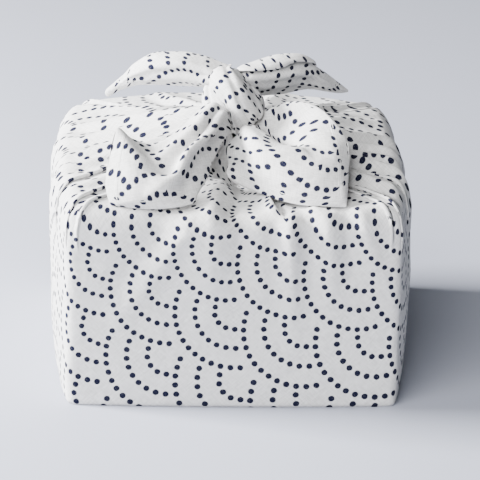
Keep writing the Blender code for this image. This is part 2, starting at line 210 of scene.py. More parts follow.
class Bench:
    """Adds nodes to one tree and wires them, so a recipe reads as a list of steps."""

    def __init__(self, tree: bpy.types.NodeTree) -> None:
        """Works on this node tree."""
        self.tree = tree

    def add(self, kind: str, **settings) -> bpy.types.Node:
        """A new node of this kind with these settings."""
        node = self.tree.nodes.new(kind)
        for name, value in settings.items():
            setattr(node, name, value)
        return node

    def feed(self, socket: bpy.types.NodeSocket, value) -> None:
        """Wires a value or an output into a socket, or sets the socket's own value."""
        given = value.socket if isinstance(value, Value) else value
        if isinstance(given, bpy.types.NodeSocket):
            self.tree.links.new(given, socket)
        else:
            socket.default_value = given

    def feed_all(self, node: bpy.types.Node, **values) -> bpy.types.Node:
        """The node with its inputs fed, by name with _ for a space."""
        for name, value in values.items():
            self.feed(node.inputs[name.replace("_", " ")], value)
        return node

    def outputs(self, node: bpy.types.Node) -> dict[str, Value]:
        """A node's outputs by name."""
        return {socket.name: Value(self, socket) for socket in node.outputs}

    def math(self, operation: str, *values) -> Value:
        """A Math node's output."""
        node = self.add("ShaderNodeMath", operation=operation)
        for socket, value in zip(node.inputs, values):
            self.feed(socket, value)
        return Value(self, node.outputs[0])

    def ramp(self, value, low: float, high: float, start=0.0, end=1.0) -> Value:
        """A smooth step of a value from start to end as it goes from low to high."""
        node = self.add("ShaderNodeMapRange", interpolation_type="SMOOTHSTEP")
        self.feed_all(node, Value=value, From_Min=low, From_Max=high, To_Min=start, To_Max=end)
        return self.outputs(node)["Result"]

    def noise(self, vector, scale: float, detail: float = 2.0) -> Value:
        """A Noise texture's grey output."""
        node = self.add("ShaderNodeTexNoise")
        self.feed_all(node, Vector=vector, Scale=scale, Detail=detail)
        return Value(self, node.outputs[0])

    def blend(self, factor, first, second) -> bpy.types.NodeSocket:
        """A colour between two colours."""
        node = self.add("ShaderNodeMix", data_type="RGBA")
        self.feed(node.inputs["Factor"], factor)
        colours = [socket for socket in node.inputs if socket.type == "RGBA"]
        self.feed(colours[0], first)
        self.feed(colours[1], second)
        return next(socket for socket in node.outputs if socket.type == "RGBA")

    def parts(self, vector) -> tuple[Value, Value]:
        """A vector's first two parts."""
        node = self.add("ShaderNodeSeparateXYZ")
        self.feed(node.inputs[0], vector)
        return Value(self, node.outputs[0]), Value(self, node.outputs[1])

    def thread_ways(self, cloth) -> tuple[Value, Value]:
        """How far a place of the cloth map lies along its two thread directions, in mm."""
        right, up = self.parts(cloth)
        return (right + up) * (DIAGONAL / MM), (up - right) * (DIAGONAL / MM)

    def group(self, made: bpy.types.NodeTree, **values) -> dict[str, Value]:
        """The outputs of a node group whose inputs are fed by name."""
        return self.outputs(self.feed_all(self.add("ShaderNodeGroup", node_tree=made), **values))


class Effect:
    """A shader node group with named inputs and outputs."""

    def __init__(self, name: str, inputs: dict[str, str], outputs: Iterable[str]) -> None:
        """Makes the empty group.

        Args:
            name: the group's name.
            inputs: each input's name and socket kind, Float or Vector.
            outputs: the names of its outputs, all of them floats.
        """
        self.tree = bpy.data.node_groups.new(name, "ShaderNodeTree")
        sockets = [(title, "INPUT", kind) for title, kind in inputs.items()]
        sockets += [(title, "OUTPUT", "Float") for title in outputs]
        for title, way, kind in sockets:
            self.tree.interface.new_socket(title, in_out=way, socket_type=f"NodeSocket{kind}")
        self.bench = Bench(self.tree)
        self.given = self.bench.outputs(self.bench.add("NodeGroupInput"))
        self.result = self.bench.add("NodeGroupOutput").inputs

    def put(self, name: str, value: Value) -> None:
        """Wires a value to one of the group's outputs."""
        self.bench.feed(self.result[name], value)


class WaveRing(NamedTuple):
    """One ring of dots in a wave scale: radius in mm, dots seen and half angle in degrees."""

    radius: float
    dots: int
    half_angle: float


@dataclass(frozen=True)
class WavePrint:
    """Overlapping wave scales, each of three rings of dots. Millimetres on the flat cloth."""

    radius: float = 26.4
    dot_radius: float = 1.30
    soft: float = 0.16

    @property
    def row_step(self) -> float:
        """From one row of scales to the next."""
        return self.radius * 2 / 3

    def rings(self) -> tuple[WaveRing, ...]:
        """The inner, middle and outer ring."""
        return (
            WaveRing(self.radius / 3, 5, 52.0),
            WaveRing(self.radius * 2 / 3, 9, 53.5),
            WaveRing(self.radius, 14, 57.0),
        )

    def ring_effect(self) -> bpy.types.NodeTree:
        """The group that measures how far a point is from the nearest dot of a ring."""
        names = "Across", "Along", "Ring Radius", "Row Start", "Dot Angle", "Last Dot", "Half Dot"
        made = Effect("ring of dots", dict.fromkeys(names, "Float"), ("Distance",))
        bench = made.bench
        across, along, ring_radius, row_start, dot_angle, last_dot, half_dot = (
            made.given[name] for name in names
        )
        row = bench.math("FLOOR", (along - row_start) / self.row_step)
        stagger = row % 2.0 * 0.5
        scale_width = 2 * self.radius
        column = bench.math("ROUND", across / scale_width - stagger) + stagger
        across = across - column * scale_width
        along = along - row * self.row_step
        steps = bench.math("ARCTAN2", across, along) / dot_angle
        nearest = bench.math("ROUND", steps - half_dot) + half_dot
        held = bench.math("MAXIMUM", bench.math("MINIMUM", nearest, last_dot), last_dot * -1.0)
        angle = held * dot_angle
        away_x = across - bench.math("SINE", angle) * ring_radius
        away_y = along - bench.math("COSINE", angle) * ring_radius
        made.put("Distance", bench.math("SQRT", away_x * away_x + away_y * away_y))
        return made.tree

    def effect(self) -> bpy.types.NodeTree:
        """The group that puts out the printed dots' mask from the print map."""
        made = Effect("dotted waves", {"Cloth": "Vector", "Wander": "Float"}, ("Ink",))
        bench = made.bench
        across, along = bench.thread_ways(made.given["Cloth"])
        ring_tree = self.ring_effect()
        nearest = None
        for ring in self.rings():
            lowest = ring.radius * math.cos(math.radians(ring.half_angle))
            distance = bench.group(
                ring_tree,
                Across=across,
                Along=along,
                Ring_Radius=ring.radius,
                Row_Start=(lowest + ring.radius - self.row_step) / 2,
                Dot_Angle=math.radians(2 * ring.half_angle / (ring.dots - 1)),
                Last_Dot=(ring.dots - 1) / 2,
                Half_Dot=0.0 if ring.dots % 2 else 0.5,
            )["Distance"]
            nearest = distance if nearest is None else bench.math("MINIMUM", nearest, distance)
        edge = nearest + made.given["Wander"]
        inner, outer = self.dot_radius - self.soft, self.dot_radius + self.soft
        made.put("Ink", bench.ramp(edge, inner, outer, 1.0, 0.0))
        return made.tree


@dataclass(frozen=True)
class PlainWeave:
    """The cotton's threads, with their uneven thickness. Millimetres."""

    pitch: float = 0.5
    slub_length: float = 5.0
    thread_share: float = 0.35
    slub_share: float = 0.5

    def effect(self) -> bpy.types.NodeTree:
        """The group that puts out the weave's height and its blotchiness."""
        made = Effect("plain weave", {"Cloth": "Vector"}, ("Height", "Blotch"))
        bench = made.bench
        warp, weft = bench.thread_ways(made.given["Cloth"])
        turn = 2 * math.pi / self.pitch
        threads = bench.math("SINE", warp * turn) * bench.math("SINE", weft * turn)
        slubs = []
        for long_way, short_way in ((warp, weft), (weft, warp)):
            stretched = bench.add("ShaderNodeCombineXYZ")
            bench.feed_all(stretched, X=long_way / self.slub_length, Y=short_way / self.pitch)
            slubs.append(bench.noise(stretched.outputs[0], 1.0, 1.0))
        slub = slubs[0] + slubs[1]
        made.put("Height", threads * self.thread_share + slub * self.slub_share)
        made.put("Blotch", slub * 0.5)
        return made.tree


@dataclass(frozen=True)
class SoftCrumple:
    """The shallow creases of cloth that was folded and handled. Metres on the cloth."""

    broad: float = 0.020
    fine: float = 0.007
    fine_share: float = 0.35

    def effect(self) -> bpy.types.NodeTree:
        """The group that puts out the creases' height."""
        made = Effect("soft crumple", {"Cloth": "Vector"}, ("Height",))
        bench, cloth = made.bench, made.given["Cloth"]
        broad, fine = (
            abs(bench.noise(cloth, 1.0 / size, 2.0) - 0.5) for size in (self.broad, self.fine)
        )
        made.put("Height", broad + fine * self.fine_share)
        return made.tree


@dataclass(frozen=True)
class StitchedHem:
    """The narrow turned hem round the cloth's edge. Millimetres."""

    width: float = CLOTH.hem
    stitch_line: float = 1.1
    stitch_length: float = 2.2
    stitch_gap: float = 0.7
    thread: float = 0.28

    def effect(self) -> bpy.types.NodeTree:
        """The group that puts out the hem's thickness and its thread."""
        made = Effect("stitched hem", {"Cloth": "Vector"}, ("Thickness", "Thread"))
        bench = made.bench
        right, up = (abs(part) for part in bench.parts(made.given["Cloth"]))
        inward = (right + up) * (-DIAGONAL / MM) + CLOTH.side / 2.0
        made.put("Thickness", bench.ramp(inward, self.width - 0.1, self.width + 0.5, 1.0, 0.0))
        line = abs(inward - (self.width - self.stitch_line))
        on_line = bench.ramp(line, self.thread * 0.6, self.thread, 1.0, 0.0)
        phase = (right - up) * (DIAGONAL / MM) % (self.stitch_length + self.stitch_gap)
        stitch = bench.ramp(phase, self.stitch_length, self.stitch_length + 0.2, 1.0, 0.0)
        made.put("Thread", on_line * stitch)
        return made.tree


@dataclass(frozen=True)
class PrintedCotton:
    """The off-white cotton with its navy print, hem and weave. Depths in millimetres."""

    ground: Colour = (0.70, 0.695, 0.69, 1.0)
    ground_shade: Colour = (0.54, 0.535, 0.53, 1.0)
    ink: Colour = (0.0035, 0.0045, 0.019, 1.0)
    thread: Colour = (0.74, 0.74, 0.73, 1.0)
    roughness: float = 0.92
    smoother: float = 0.84
    sheen: float = 0.01
    shine: float = 0.12
    wander: float = 0.35
    fray_scale: float = 900.0
    wear_scale: float = 2200.0
    worn_ink: float = 0.86
    weave_depth: float = 0.15
    crumple_depth: float = 2.6
    hem_depth: float = 0.35
    thread_depth: float = 0.25
    bump_strength: float = 0.6

    def build(self) -> bpy.types.Material:
        """The material that every sheet of the cloth wears."""
        material = bpy.data.materials.new("printed cotton")
        material.use_nodes = True
        bench = Bench(material.node_tree)
        shader = material.node_tree.nodes["Principled BSDF"]
        cloth = bench.add("ShaderNodeUVMap", uv_map=CLOTH_MAP).outputs["UV"]
        print_map = bench.add("ShaderNodeUVMap", uv_map=PRINT_MAP).outputs["UV"]
        weave = bench.group(PlainWeave().effect(), Cloth=cloth)
        hem = bench.group(StitchedHem().effect(), Cloth=cloth)
        crumple = bench.group(SoftCrumple().effect(), Cloth=cloth)
        wander = (bench.noise(cloth, self.fray_scale, 1.0) - 0.5) * self.wander
        ink = bench.group(WavePrint().effect(), Cloth=print_map, Wander=wander)["Ink"]
        wear = bench.ramp(bench.noise(cloth, self.wear_scale), 0.25, 0.45, self.worn_ink, 1.0)
        blotch = weave["Blotch"]
        colour = bench.blend(bench.ramp(blotch, 0.36, 0.66), self.ground_shade, self.ground)
        colour = bench.blend(ink * wear, colour, self.ink)
        colour = bench.blend(hem["Thread"], colour, self.thread)
        bench.feed(shader.inputs["Base Color"], colour)
        dull = bench.ramp(blotch, 0.3, 0.7, self.roughness, self.smoother)
        bench.feed(shader.inputs["Roughness"], dull)
        shader.inputs["Sheen Weight"].default_value = self.sheen
        shader.inputs["Sheen Roughness"].default_value = 0.5
        shader.inputs["Specular IOR Level"].default_value = self.shine
        height = weave["Height"] * self.weave_depth + crumple["Height"] * self.crumple_depth
        height = height + hem["Thickness"] * self.hem_depth + hem["Thread"] * self.thread_depth
        bump = bench.add("ShaderNodeBump")
        bench.feed_all(bump, Strength=self.bump_strength, Distance=MM, Height=height)
        bench.feed(shader.inputs["Normal"], bump.outputs["Normal"])
        return material


def woven_grid(
    name: str,
    columns: int,
    rows: int,
    place: Place,
    mapped: Callable[[int, int, int, int], tuple[float, float]],
    laid: Callable[[int, int], PrintLay],
) -> bpy.types.Object:
    """A sheet made from a grid whose every crossing is set in its place.

    Args:
        name: the piece's name.
        columns: cells across.
        rows: cells along.
        place: gives the point, in mm, of a crossing's column and row.
        mapped: gives the cloth coordinates, in mm, of a crossing, and takes its column and
            row, then those of the cell that it is asked for.
        laid: gives how the print lies on a cell.

    Returns:
        The new object, with its cloth and print maps.
    """
    sheet = bmesh.new()
    bmesh.ops.create_grid(sheet, x_segments=columns, y_segments=rows, size=1.0)
    crossings = {}
    for vertex in sheet.verts:
        column = round((vertex.co.x + 1.0) / 2.0 * columns)
        row = round((vertex.co.y + 1.0) / 2.0 * rows)
        crossings[vertex] = (column, row)
        vertex.co = place(column, row) * MM
    layer = sheet.loops.layers.uv.new(CLOTH_MAP)
    print_layer = sheet.loops.layers.uv.new(PRINT_MAP)
    for face in sheet.faces:
        cell = (
            min(crossings[vertex][0] for vertex in face.verts),
            min(crossings[vertex][1] for vertex in face.verts),
        )
        for loop in face.loops:
            across, along = mapped(*crossings[loop.vert], *cell)
            loop[layer].uv = (across * MM, along * MM)
            loop[print_layer].uv = Vector(laid(*cell).lay(across, along)) * MM
    for face in sheet.faces:
        face.smooth = True
    mesh = bpy.data.meshes.new(name)
    sheet.to_mesh(mesh)
    sheet.free()
    made = bpy.data.objects.new(name, mesh)
    bpy.context.scene.collection.objects.link(made)
    return made


def weld(piece: bpy.types.Object, closed: bool) -> None:
    """Joins a sheet's crossings that share a place, and turns a closed one's faces outwards."""
    welded = bmesh.new()
    welded.from_mesh(piece.data)
    bmesh.ops.remove_doubles(welded, verts=welded.verts, dist=WELD)
    if closed:
        bmesh.ops.recalc_face_normals(welded, faces=welded.faces)
    welded.to_mesh(piece.data)
    welded.free()


def thicken(piece: bpy.types.Object, offset: float = -1.0) -> None:
    """Gives a sheet the cloth's thickness, inwards from the modelled face."""
    wall = piece.modifiers.new("cloth thickness", "SOLIDIFY")
    wall.thickness = CLOTH.thickness * MM
    wall.offset = offset


class SideRing(NamedTuple):
    """A level of the upright sides: share of the edge height, inset and share of the bow."""

    height: float
    inset: float
    bow: float


class Fold(NamedTuple):
    """A soft ridge, or a trough where its height is negative, that runs out from the knot.

    The heading is in degrees from +X, the rest in millimetres from the knot's middle. The
    ridge is steep on the side of steep's sign: anticlockwise where positive.
    """

    heading: float
    half_width: float
    height: float
    start: float
    end: float
    steep: float


class Gather(NamedTuple):
    """A broad rise towards the knot: heading and spread in degrees, the rest in millimetres."""

    heading: float
    spread: float
    height: float
    radius: float


class Drape(NamedTuple):
    """A soft ridge on an upright side, in millimetres from the side's middle.

    It starts at the top edge at one place, leans to another and fades out at low.
    """

    side: Side
    at: float
    foot: float
    half_width: float
    height: float
    low: float


class Crease(NamedTuple):
    """A folded edge of one panel over the next, from a corner of the top to the knot.

    Places are counted round the rim, one for each side, from the front left corner.
    over is +1 where the panel after the crease lies on top, -1 where the one before does.
    """

    rim: float
    middle: float
    neck: float
    over: int
    lift: float


class Column(NamedTuple):
    """One line of the skin from the base to the neck."""

    rim: float
    middle: float
    neck: float
    flat: float
    lift: float
    panel: int


SIDE_RINGS = (
    SideRing(0.00, 0.7, 0.60),
    SideRing(0.012, 0.2, 0.70),
    SideRing(0.10, 0.0, 0.84),
    SideRing(0.25, 0.0, 0.96),
    SideRing(0.42, 0.0, 1.00),
    SideRing(0.60, 0.0, 1.00),
    SideRing(0.78, 0.0, 0.95),
    SideRing(0.90, 0.0, 0.93),
    SideRing(1.00, 0.2, 0.90),
)

STEEP_FLANK = 0.42
FOOT_PLACE = 0.95
FOOT_DEPTH = 0.34
FOOT_WIDTH = 0.32

FOLDS = (
    Fold(-101.0, 8.0, 6.0, 30.0, 84.0, 1),
    Fold(-122.0, 5.0, 2.4, 35.0, 80.0, 1),
    Fold(-79.0, 3.6, 3.6, 30.0, 92.0, 1),
    Fold(-66.0, 4.5, 2.6, 26.0, 84.0, -1),
    Fold(-37.0, 6.0, 5.0, 24.0, 94.0, -1),
    Fold(-25.0, 5.5, 5.0, 18.0, 92.0, -1),
    Fold(-13.0, 5.0, 4.6, 18.0, 94.0, -1),
    Fold(-2.0, 5.0, 4.8, 18.0, 90.0, -1),
    Fold(11.0, 5.5, 4.4, 18.0, 92.0, -1),
    Fold(31.0, 6.5, 3.2, 22.0, 92.0, 1),
    Fold(52.0, 6.0, 2.6, 24.0, 84.0, -1),
    Fold(74.0, 6.5, 3.4, 18.0, 84.0, 1),
    Fold(96.0, 6.0, 3.0, 18.0, 84.0, -1),
    Fold(118.0, 6.5, 3.4, 18.0, 84.0, 1),
    Fold(141.0, 6.0, 3.0, 22.0, 92.0, -1),
    Fold(157.0, 5.5, 3.4, 18.0, 90.0, 1),
    Fold(172.0, 5.5, 3.6, 18.0, 88.0, 1),
    Fold(186.0, 5.5, 3.2, 18.0, 88.0, 1),
    Fold(200.0, 5.0, 3.2, 20.0, 90.0, 1),
    Fold(214.0, 5.5, 3.0, 24.0, 92.0, 1),
)

GATHERS = (
    Gather(176.0, 48.0, 25.0, 78.0),
    Gather(95.0, 40.0, 14.0, 70.0),
    Gather(28.0, 38.0, 14.0, 74.0),
    Gather(-97.0, 18.0, -17.0, 50.0),
)

DRAPES = (
    Drape(Side.FRONT, -10.0, -10.0, 8.0, 3.8, 30.0),
    Drape(Side.FRONT, 3.0, 4.0, 4.0, -2.2, 40.0),
    Drape(Side.FRONT, 17.0, 18.0, 4.0, -2.2, 30.0),
    Drape(Side.FRONT, 24.5, 27.0, 3.0, 3.8, 20.0),
    Drape(Side.FRONT, 33.0, 38.0, 4.0, -2.2, 32.0),
    Drape(Side.FRONT, -22.0, -56.0, 6.0, 3.0, 32.0),
    Drape(Side.FRONT, -34.0, -64.0, 6.0, -1.8, 40.0),
    Drape(Side.FRONT, 42.0, 44.0, 4.0, 2.6, 38.0),
    Drape(Side.FRONT, 50.0, 57.0, 4.0, -2.2, 46.0),
    Drape(Side.FRONT, 58.0, 70.0, 4.0, 2.2, 50.0),
    Drape(Side.RIGHT, -38.0, -38.0, 7.0, 2.0, 30.0),
    Drape(Side.RIGHT, 8.0, 8.0, 8.0, 1.8, 40.0),
    Drape(Side.LEFT, 30.0, 30.0, 7.0, 1.8, 36.0),
    Drape(Side.LEFT, -24.0, -24.0, 8.0, 2.0, 32.0),
    Drape(Side.BACK, 20.0, 20.0, 7.5, 2.0, 34.0),
    Drape(Side.BACK, -26.0, -26.0, 6.5, 1.8, 40.0),
)

CREASES = (
    Crease(0.035, 0.045, 0.06, -1, 1.5),
    Crease(0.965, 0.985, 0.94, +1, 1.5),
    Crease(1.01, 1.06, 1.08, +1, 1.9),
    Crease(1.19, 1.20, 1.20, +1, 2.3),
    Crease(1.96, 1.93, 1.90, -1, 1.6),
    Crease(2.01, 2.03, 2.04, -1, 1.4),
    Crease(2.99, 2.97, 2.96, +1, 1.4),
    Crease(3.04, 3.07, 3.10, +1, 1.6),
    Crease(3.83, 3.80, 3.78, -1, 2.1),
    Crease(3.99, 3.94, 3.91, -1, 1.9),
)


@dataclass
class WrapSkin:
    """The cloth over the parcel: base, four upright panels and the gathered top."""

    half_side: float = 74.0
    edge_height: float = 84.0
    top_height: float = 90.5
    corner_power: float = 60.0
    bow_front: float = 3.0
    bow_side: float = 9.0
    bow_back: float = 5.0
    bow_power: float = 2.4
    bow_power_back: float = 9.0
    bow_right_top: float = 0.72
    shoulder_start: float = 0.90
    neck_rise: float = 9.0
    neck_power: float = 2.0
    column_rise: float = 20.0
    column_radius: float = 9.0
    back_swell: float = 9.5
    back_swell_from: float = -20.0
    side_swell: float = 5.0
    neck_centre: Vector = field(default_factory=lambda: Vector((4.0, -1.0)))
    neck_reach: float = 0.11
    round_reach: float = 0.75
    cell: float = 2.1
    base_rows: int = 6
    side_rows: int = 44
    top_rows: int = 46
    ripple: float = 0.35
    wrap_round: float = 0.17
    fine_gathers: tuple[tuple[int, float], ...] = ((23, 0.55), (37, 0.4), (59, 0.2))
    slant: float = 1.04
    crease_from: float = 0.86
    crease_at_rim: float = 0.7
    crease_run: float = 0.06
    columns: list[Column] = field(default_factory=list)

    def direction(self, rim: float) -> Vector:
        """The point of the unit square this far round, from the front left corner."""
        turned = rim % 4.0
        index = int(turned)
        even = 2.0 * (turned - index) - 1.0
        return (
            Vector((even, -1.0)),
            Vector((1.0, even)),
            Vector((-even, 1.0)),
            Vector((-1.0, -even)),
        )[index]

    def rounded(self, way: Vector) -> Vector:
        """The square's point drawn in where its corner is rounded."""
        power = self.corner_power
        reach = (abs(way.x) ** power + abs(way.y) ** power) ** (1.0 / power)
        return way / reach

    def bowed(self, way: Vector, height: float) -> Vector:
        """How far the panel stands out past the plain square here."""
        across_front = max(0.0, 1.0 - abs(way.x) ** self.bow_power)
        power = self.bow_power_back if way.y > 0 else self.bow_power
        across_side = max(0.0, 1.0 - abs(way.y) ** power)
        if way.x > 0:
            upward = smooth_step(2.0 * height / self.edge_height - 1.0)
            across_side *= mix(1.0, self.bow_right_top, upward)
        depth = self.bow_back if way.y > 0 else self.bow_front
        return Vector((way.x * self.bow_side * across_side, way.y * depth * across_front))

    def draped(self, rim: float, height: float) -> Vector:
        """How far the ridges down the sides stand out at this height."""
        turned = rim % 4.0
        index = int(turned)
        place = (2.0 * (turned - index) - 1.0) * self.half_side
        outward = (Vector((0, -1)), Vector((1, 0)), Vector((0, 1)), Vector((-1, 0)))[index]
        total = 0.0
        for drape in DRAPES:
            if drape.side.value == index:
                share = (height - drape.low) / (self.edge_height - drape.low)
                centre = mix(drape.foot, drape.at, min(max(share, 0.0), 1.0))
                away = (place - centre) / drape.half_width
                total += drape.height * smooth_step(share) * math.exp(-(abs(away) ** 1.6))
        return outward * total

    def outline(self, rim: float, inset: float, bow: float, height: float) -> Vector:
        """The outline's point this far round at one level."""
        way = self.direction(rim)
        out = self.bowed(way, height) * bow + self.draped(rim, height)
        return self.rounded(way) * (self.half_side - inset) + out

    def fold_height(self, point: Vector) -> float:
        """What the folds that run to the knot add at this place of the top."""
        arm = point - self.neck_centre
        distance = arm.length
        heading = math.degrees(math.atan2(arm.y, arm.x))
        height = 0.0
        for fold in FOLDS:
            along = (distance - fold.start) / (fold.end - fold.start)
            if 0.0 < along < 1.0:
                off = math.radians(turn_between(heading, fold.heading)) * distance
                width = fold.half_width * (STEEP_FLANK if off * fold.steep > 0.0 else 1.0)
                ridge = math.exp(-((abs(off) / width) ** 1.35))
                foot = off * fold.steep / fold.half_width - FOOT_PLACE
                ridge -= FOOT_DEPTH * math.exp(-((foot / FOOT_WIDTH) ** 2))
                height += fold.height * ridge * math.sin(math.pi * along) ** 0.6
        wave = 0.0
        for count, share in self.fine_gathers:
            wave += share * math.sin(math.radians(heading) * count + distance * 0.03 * share)
        nearness = smooth_step((distance - 8.0) / 14.0) * (1.0 - smooth_step(distance / 78.0))
        return height + wave * nearness

    def gathered(self, point: Vector) -> float:
        """How far the broad gathers lift the cloth here on its way to the knot."""
        arm = point - self.neck_centre
        heading = math.degrees(math.atan2(arm.y, arm.x))
        total = 0.0
        for gather in GATHERS:
            turn = turn_between(heading, gather.heading) / gather.spread
            nearness = max(0.0, 1.0 - arm.length / gather.radius)
            total += gather.height * math.exp(-turn * turn) * nearness ** 1.3
        return total

    def top_level(self, point: Vector, reach: float, lift: float) -> float:
        """The height of the cloth over the top at this place."""
        knotward = (1.0 - reach) ** self.neck_power * self.neck_rise
        half = self.half_side + self.bow_side
        across = max(0.0, 1.0 - abs(point.x / half) ** 2.5)
        span = self.half_side - self.back_swell_from
        backward = smooth_step((point.y - self.back_swell_from) / span)
        sideward = smooth_step(abs(point.x) / self.half_side) * (1.0 - backward * 0.5)
        column = ((point - self.neck_centre).length / self.column_radius) ** 2
        height = self.top_height + knotward + self.column_rise * math.exp(-column)
        height += self.back_swell * across * backward + self.side_swell * sideward
        height += self.fold_height(point) + self.gathered(point)
        edge = max(0.0, (reach - self.shoulder_start) / (1.0 - self.shoulder_start))
        shoulder = math.sqrt(max(0.0, 1.0 - edge * edge))
        return self.edge_height + (height - self.edge_height) * shoulder + lift

    def lay_columns(self) -> None:
        """Sets out the skin's columns, close together at corners and doubled at creases."""
        self.columns.clear()
        for index, crease in enumerate(CREASES):
            following = CREASES[(index + 1) % len(CREASES)]
            turn = 4.0 if following.rim < crease.rim else 0.0
            self.add_crease(crease, index)
            width = following.rim + turn - crease.rim
            count = max(5, round(width * 2 * self.half_side / self.cell))
            start_lift = crease.lift if crease.over > 0 else 0.0
            end_lift = following.lift if following.over < 0 else 0.0
            for step in range(1, count):
                even = step / count
                share = mix(even, 0.5 - 0.5 * math.cos(math.pi * even), 0.45)
                fade = (1.0 - smooth_step(share * 3.0), smooth_step(share * 3.0 - 2.0))
                self.columns.append(
                    Column(
                        mix(crease.rim, following.rim + turn, share),
                        mix(crease.middle, following.middle + turn, share),
                        mix(crease.neck, following.neck + turn, share),
                        0.0,
                        start_lift * fade[0] + end_lift * fade[1],
                        index,
                    )
                )
        self.columns.append(
            self.columns[0]._replace(
                rim=self.columns[0].rim + 4.0,
                middle=self.columns[0].middle + 4.0,
                neck=self.columns[0].neck + 4.0,
            )
        )

    def add_crease(self, crease: Crease, index: int) -> None:
        """Adds a crease's own columns: the upper edge, its turn and the tuck below it."""
        per_mm = 1.0 / (2 * self.half_side)
        steps = (
            (-1.6, 1.00, -0.45),
            (-0.5, 1.00, -0.30),
            (0.2, 0.80, -0.15),
            (0.3, 0.45, 0.0),
            (-0.2, 0.15, 0.15),
            (-2.6, 0.00, 0.30),
            (0.8, 0.00, 0.45),
        )
        before = (index - 1) % len(CREASES)
        ordered = steps if crease.over < 0 else tuple(reversed(steps))
        sign = 1.0 if crease.over < 0 else -1.0
        for number, (across, lift, flat) in enumerate(ordered):
            on_upper = (number < 4) if crease.over < 0 else (number >= 3)
            upper = before if crease.over < 0 else index
            lower = index if crease.over < 0 else before
            self.columns.append(
                Column(
                    crease.rim + sign * across * per_mm,
                    crease.middle + sign * across * per_mm,
                    crease.neck + sign * across * per_mm,
                    sign * (flat - across) * per_mm,
                    lift * crease.lift,
                    upper if on_upper else lower,
                )
            )

    def level(self, row: int) -> tuple[float, float]:
        """The height on the sides and the reach on the top of one row, counted from the base.

        Returns:
            The height in mm, and the reach: 1 at the rim and less over the top. Rows on the
            base have a height of 0 and a negative reach that gives their share.
        """
        if row < self.base_rows:
            return 0.0, -(0.02 + 0.98 * row / self.base_rows)
        row -= self.base_rows
        if row <= self.side_rows:
            share = row / self.side_rows
            return self.edge_height * mix(share, smooth_step(share), 0.25), 1.0
        share = (row - self.side_rows) / self.top_rows
        return self.edge_height, 1.0 - (1.0 - self.neck_reach) * share ** 1.15

    def crease_strength(self, height: float, reach: float) -> float:
        """How far a crease is opened: none on the sides, all of it from the rim inwards."""
        if reach >= 1.0:
            share = height / self.edge_height
            opened = smooth_step((share - self.crease_from) / (1.0 - self.crease_from))
            return self.crease_at_rim * opened
        return mix(self.crease_at_rim, 1.0, smooth_step((1.0 - reach) / self.crease_run))

    def side_ring(self, height: float) -> tuple[float, float]:
        """The inset and the bow at this height of the sides."""
        share = height / self.edge_height
        for lower, upper in zip(SIDE_RINGS, SIDE_RINGS[1:]):
            if share <= upper.height:
                part = (share - lower.height) / (upper.height - lower.height)
                return mix(lower.inset, upper.inset, part), mix(lower.bow, upper.bow, part)
        return SIDE_RINGS[-1].inset, SIDE_RINGS[-1].bow

    def place(self, column: int, row: int) -> Vector:
        """The point of the skin at this column and row, in mm."""
        line = self.columns[column]
        height, reach = self.level(row)
        if reach < 0.0:
            rim = line.rim + line.flat
            inset, bow = self.side_ring(0.0)
            point = self.outline(rim, inset, bow, 0.0) * -reach
            return Vector((point.x, point.y, 0.0))
        strength = self.crease_strength(height, reach)
        rim = line.rim + line.flat * (1.0 - strength)
        lift = line.lift * strength
        if reach >= 1.0:
            inset, bow = self.side_ring(height)
            point = self.outline(rim, inset, bow, height)
            point += point.normalized() * lift * 0.5
            return self.rippled(Vector((point.x, point.y, height)))
        inward = (1.0 - reach) / (1.0 - self.neck_reach)
        inner = (line.rim, line.middle, line.neck)
        drift = through([Vector((value, 0.0)) for value in inner], inward).x - line.rim
        rim += drift
        last = SIDE_RINGS[-1]
        square = self.outline(rim, last.inset, last.bow, self.edge_height) * reach
        way = self.direction(rim).normalized()
        circle = way * self.half_side * reach + self.neck_centre * (1.0 - reach)
        squareness = smooth_step((reach - self.neck_reach) / (self.round_reach - self.neck_reach))
        point = circle.lerp(square, squareness)
        level = self.top_level(point, reach, lift * min(1.0, reach * 3.0))
        return self.rippled(Vector((point.x, point.y, level)))

    def rippled(self, point: Vector) -> Vector:
        """Adds the small unevenness of handled cloth."""
        fade = smooth_step((point.z - 2.0) / 14.0)
        wave = noise.noise_vector(point * 0.055) + noise.noise_vector(point * 0.13) * 0.45
        return point + wave * self.ripple * fade

    def cell_side(self, cell_column: int, cell_row: int) -> tuple[Side, float]:
        """The side whose cloth covers a cell, and how far its pleat shifts it."""
        line = self.columns[cell_column]
        if self.level(cell_row)[1] < 1.0:
            return PANEL_SIDES[line.panel]
        turned = line.rim % 4.0
        if 1.0 + self.wrap_round < turned < 2.0 - self.wrap_round:
            return Side.RIGHT, 0.0
        if 3.0 + self.wrap_round < turned < 4.0 - self.wrap_round:
            return Side.LEFT, 0.0
        return (Side.BACK, 0.0) if 1.5 < turned < 3.5 else (Side.FRONT, 0.0)

    def run_over_top(self, reach: float) -> float:
        """The cloth's length from the rim to this reach, over the shoulder and the top."""
        level = max(0.0, (reach - self.shoulder_start) / (1.0 - self.shoulder_start))
        width = self.half_side * (1.0 - self.shoulder_start)
        radius = (width + self.top_height - self.edge_height) / 2.0
        beyond = max(0.0, self.shoulder_start - reach) * self.half_side
        return radius * math.acos(level) + beyond * self.slant

    def laid(self, cell_column: int, cell_row: int) -> PrintLay:
        """How the print lies on a cell."""
        side, pleat = self.cell_side(cell_column, cell_row)
        return FRONT_LAY if side is Side.FRONT and pleat == 0.0 else PLAIN_LAY

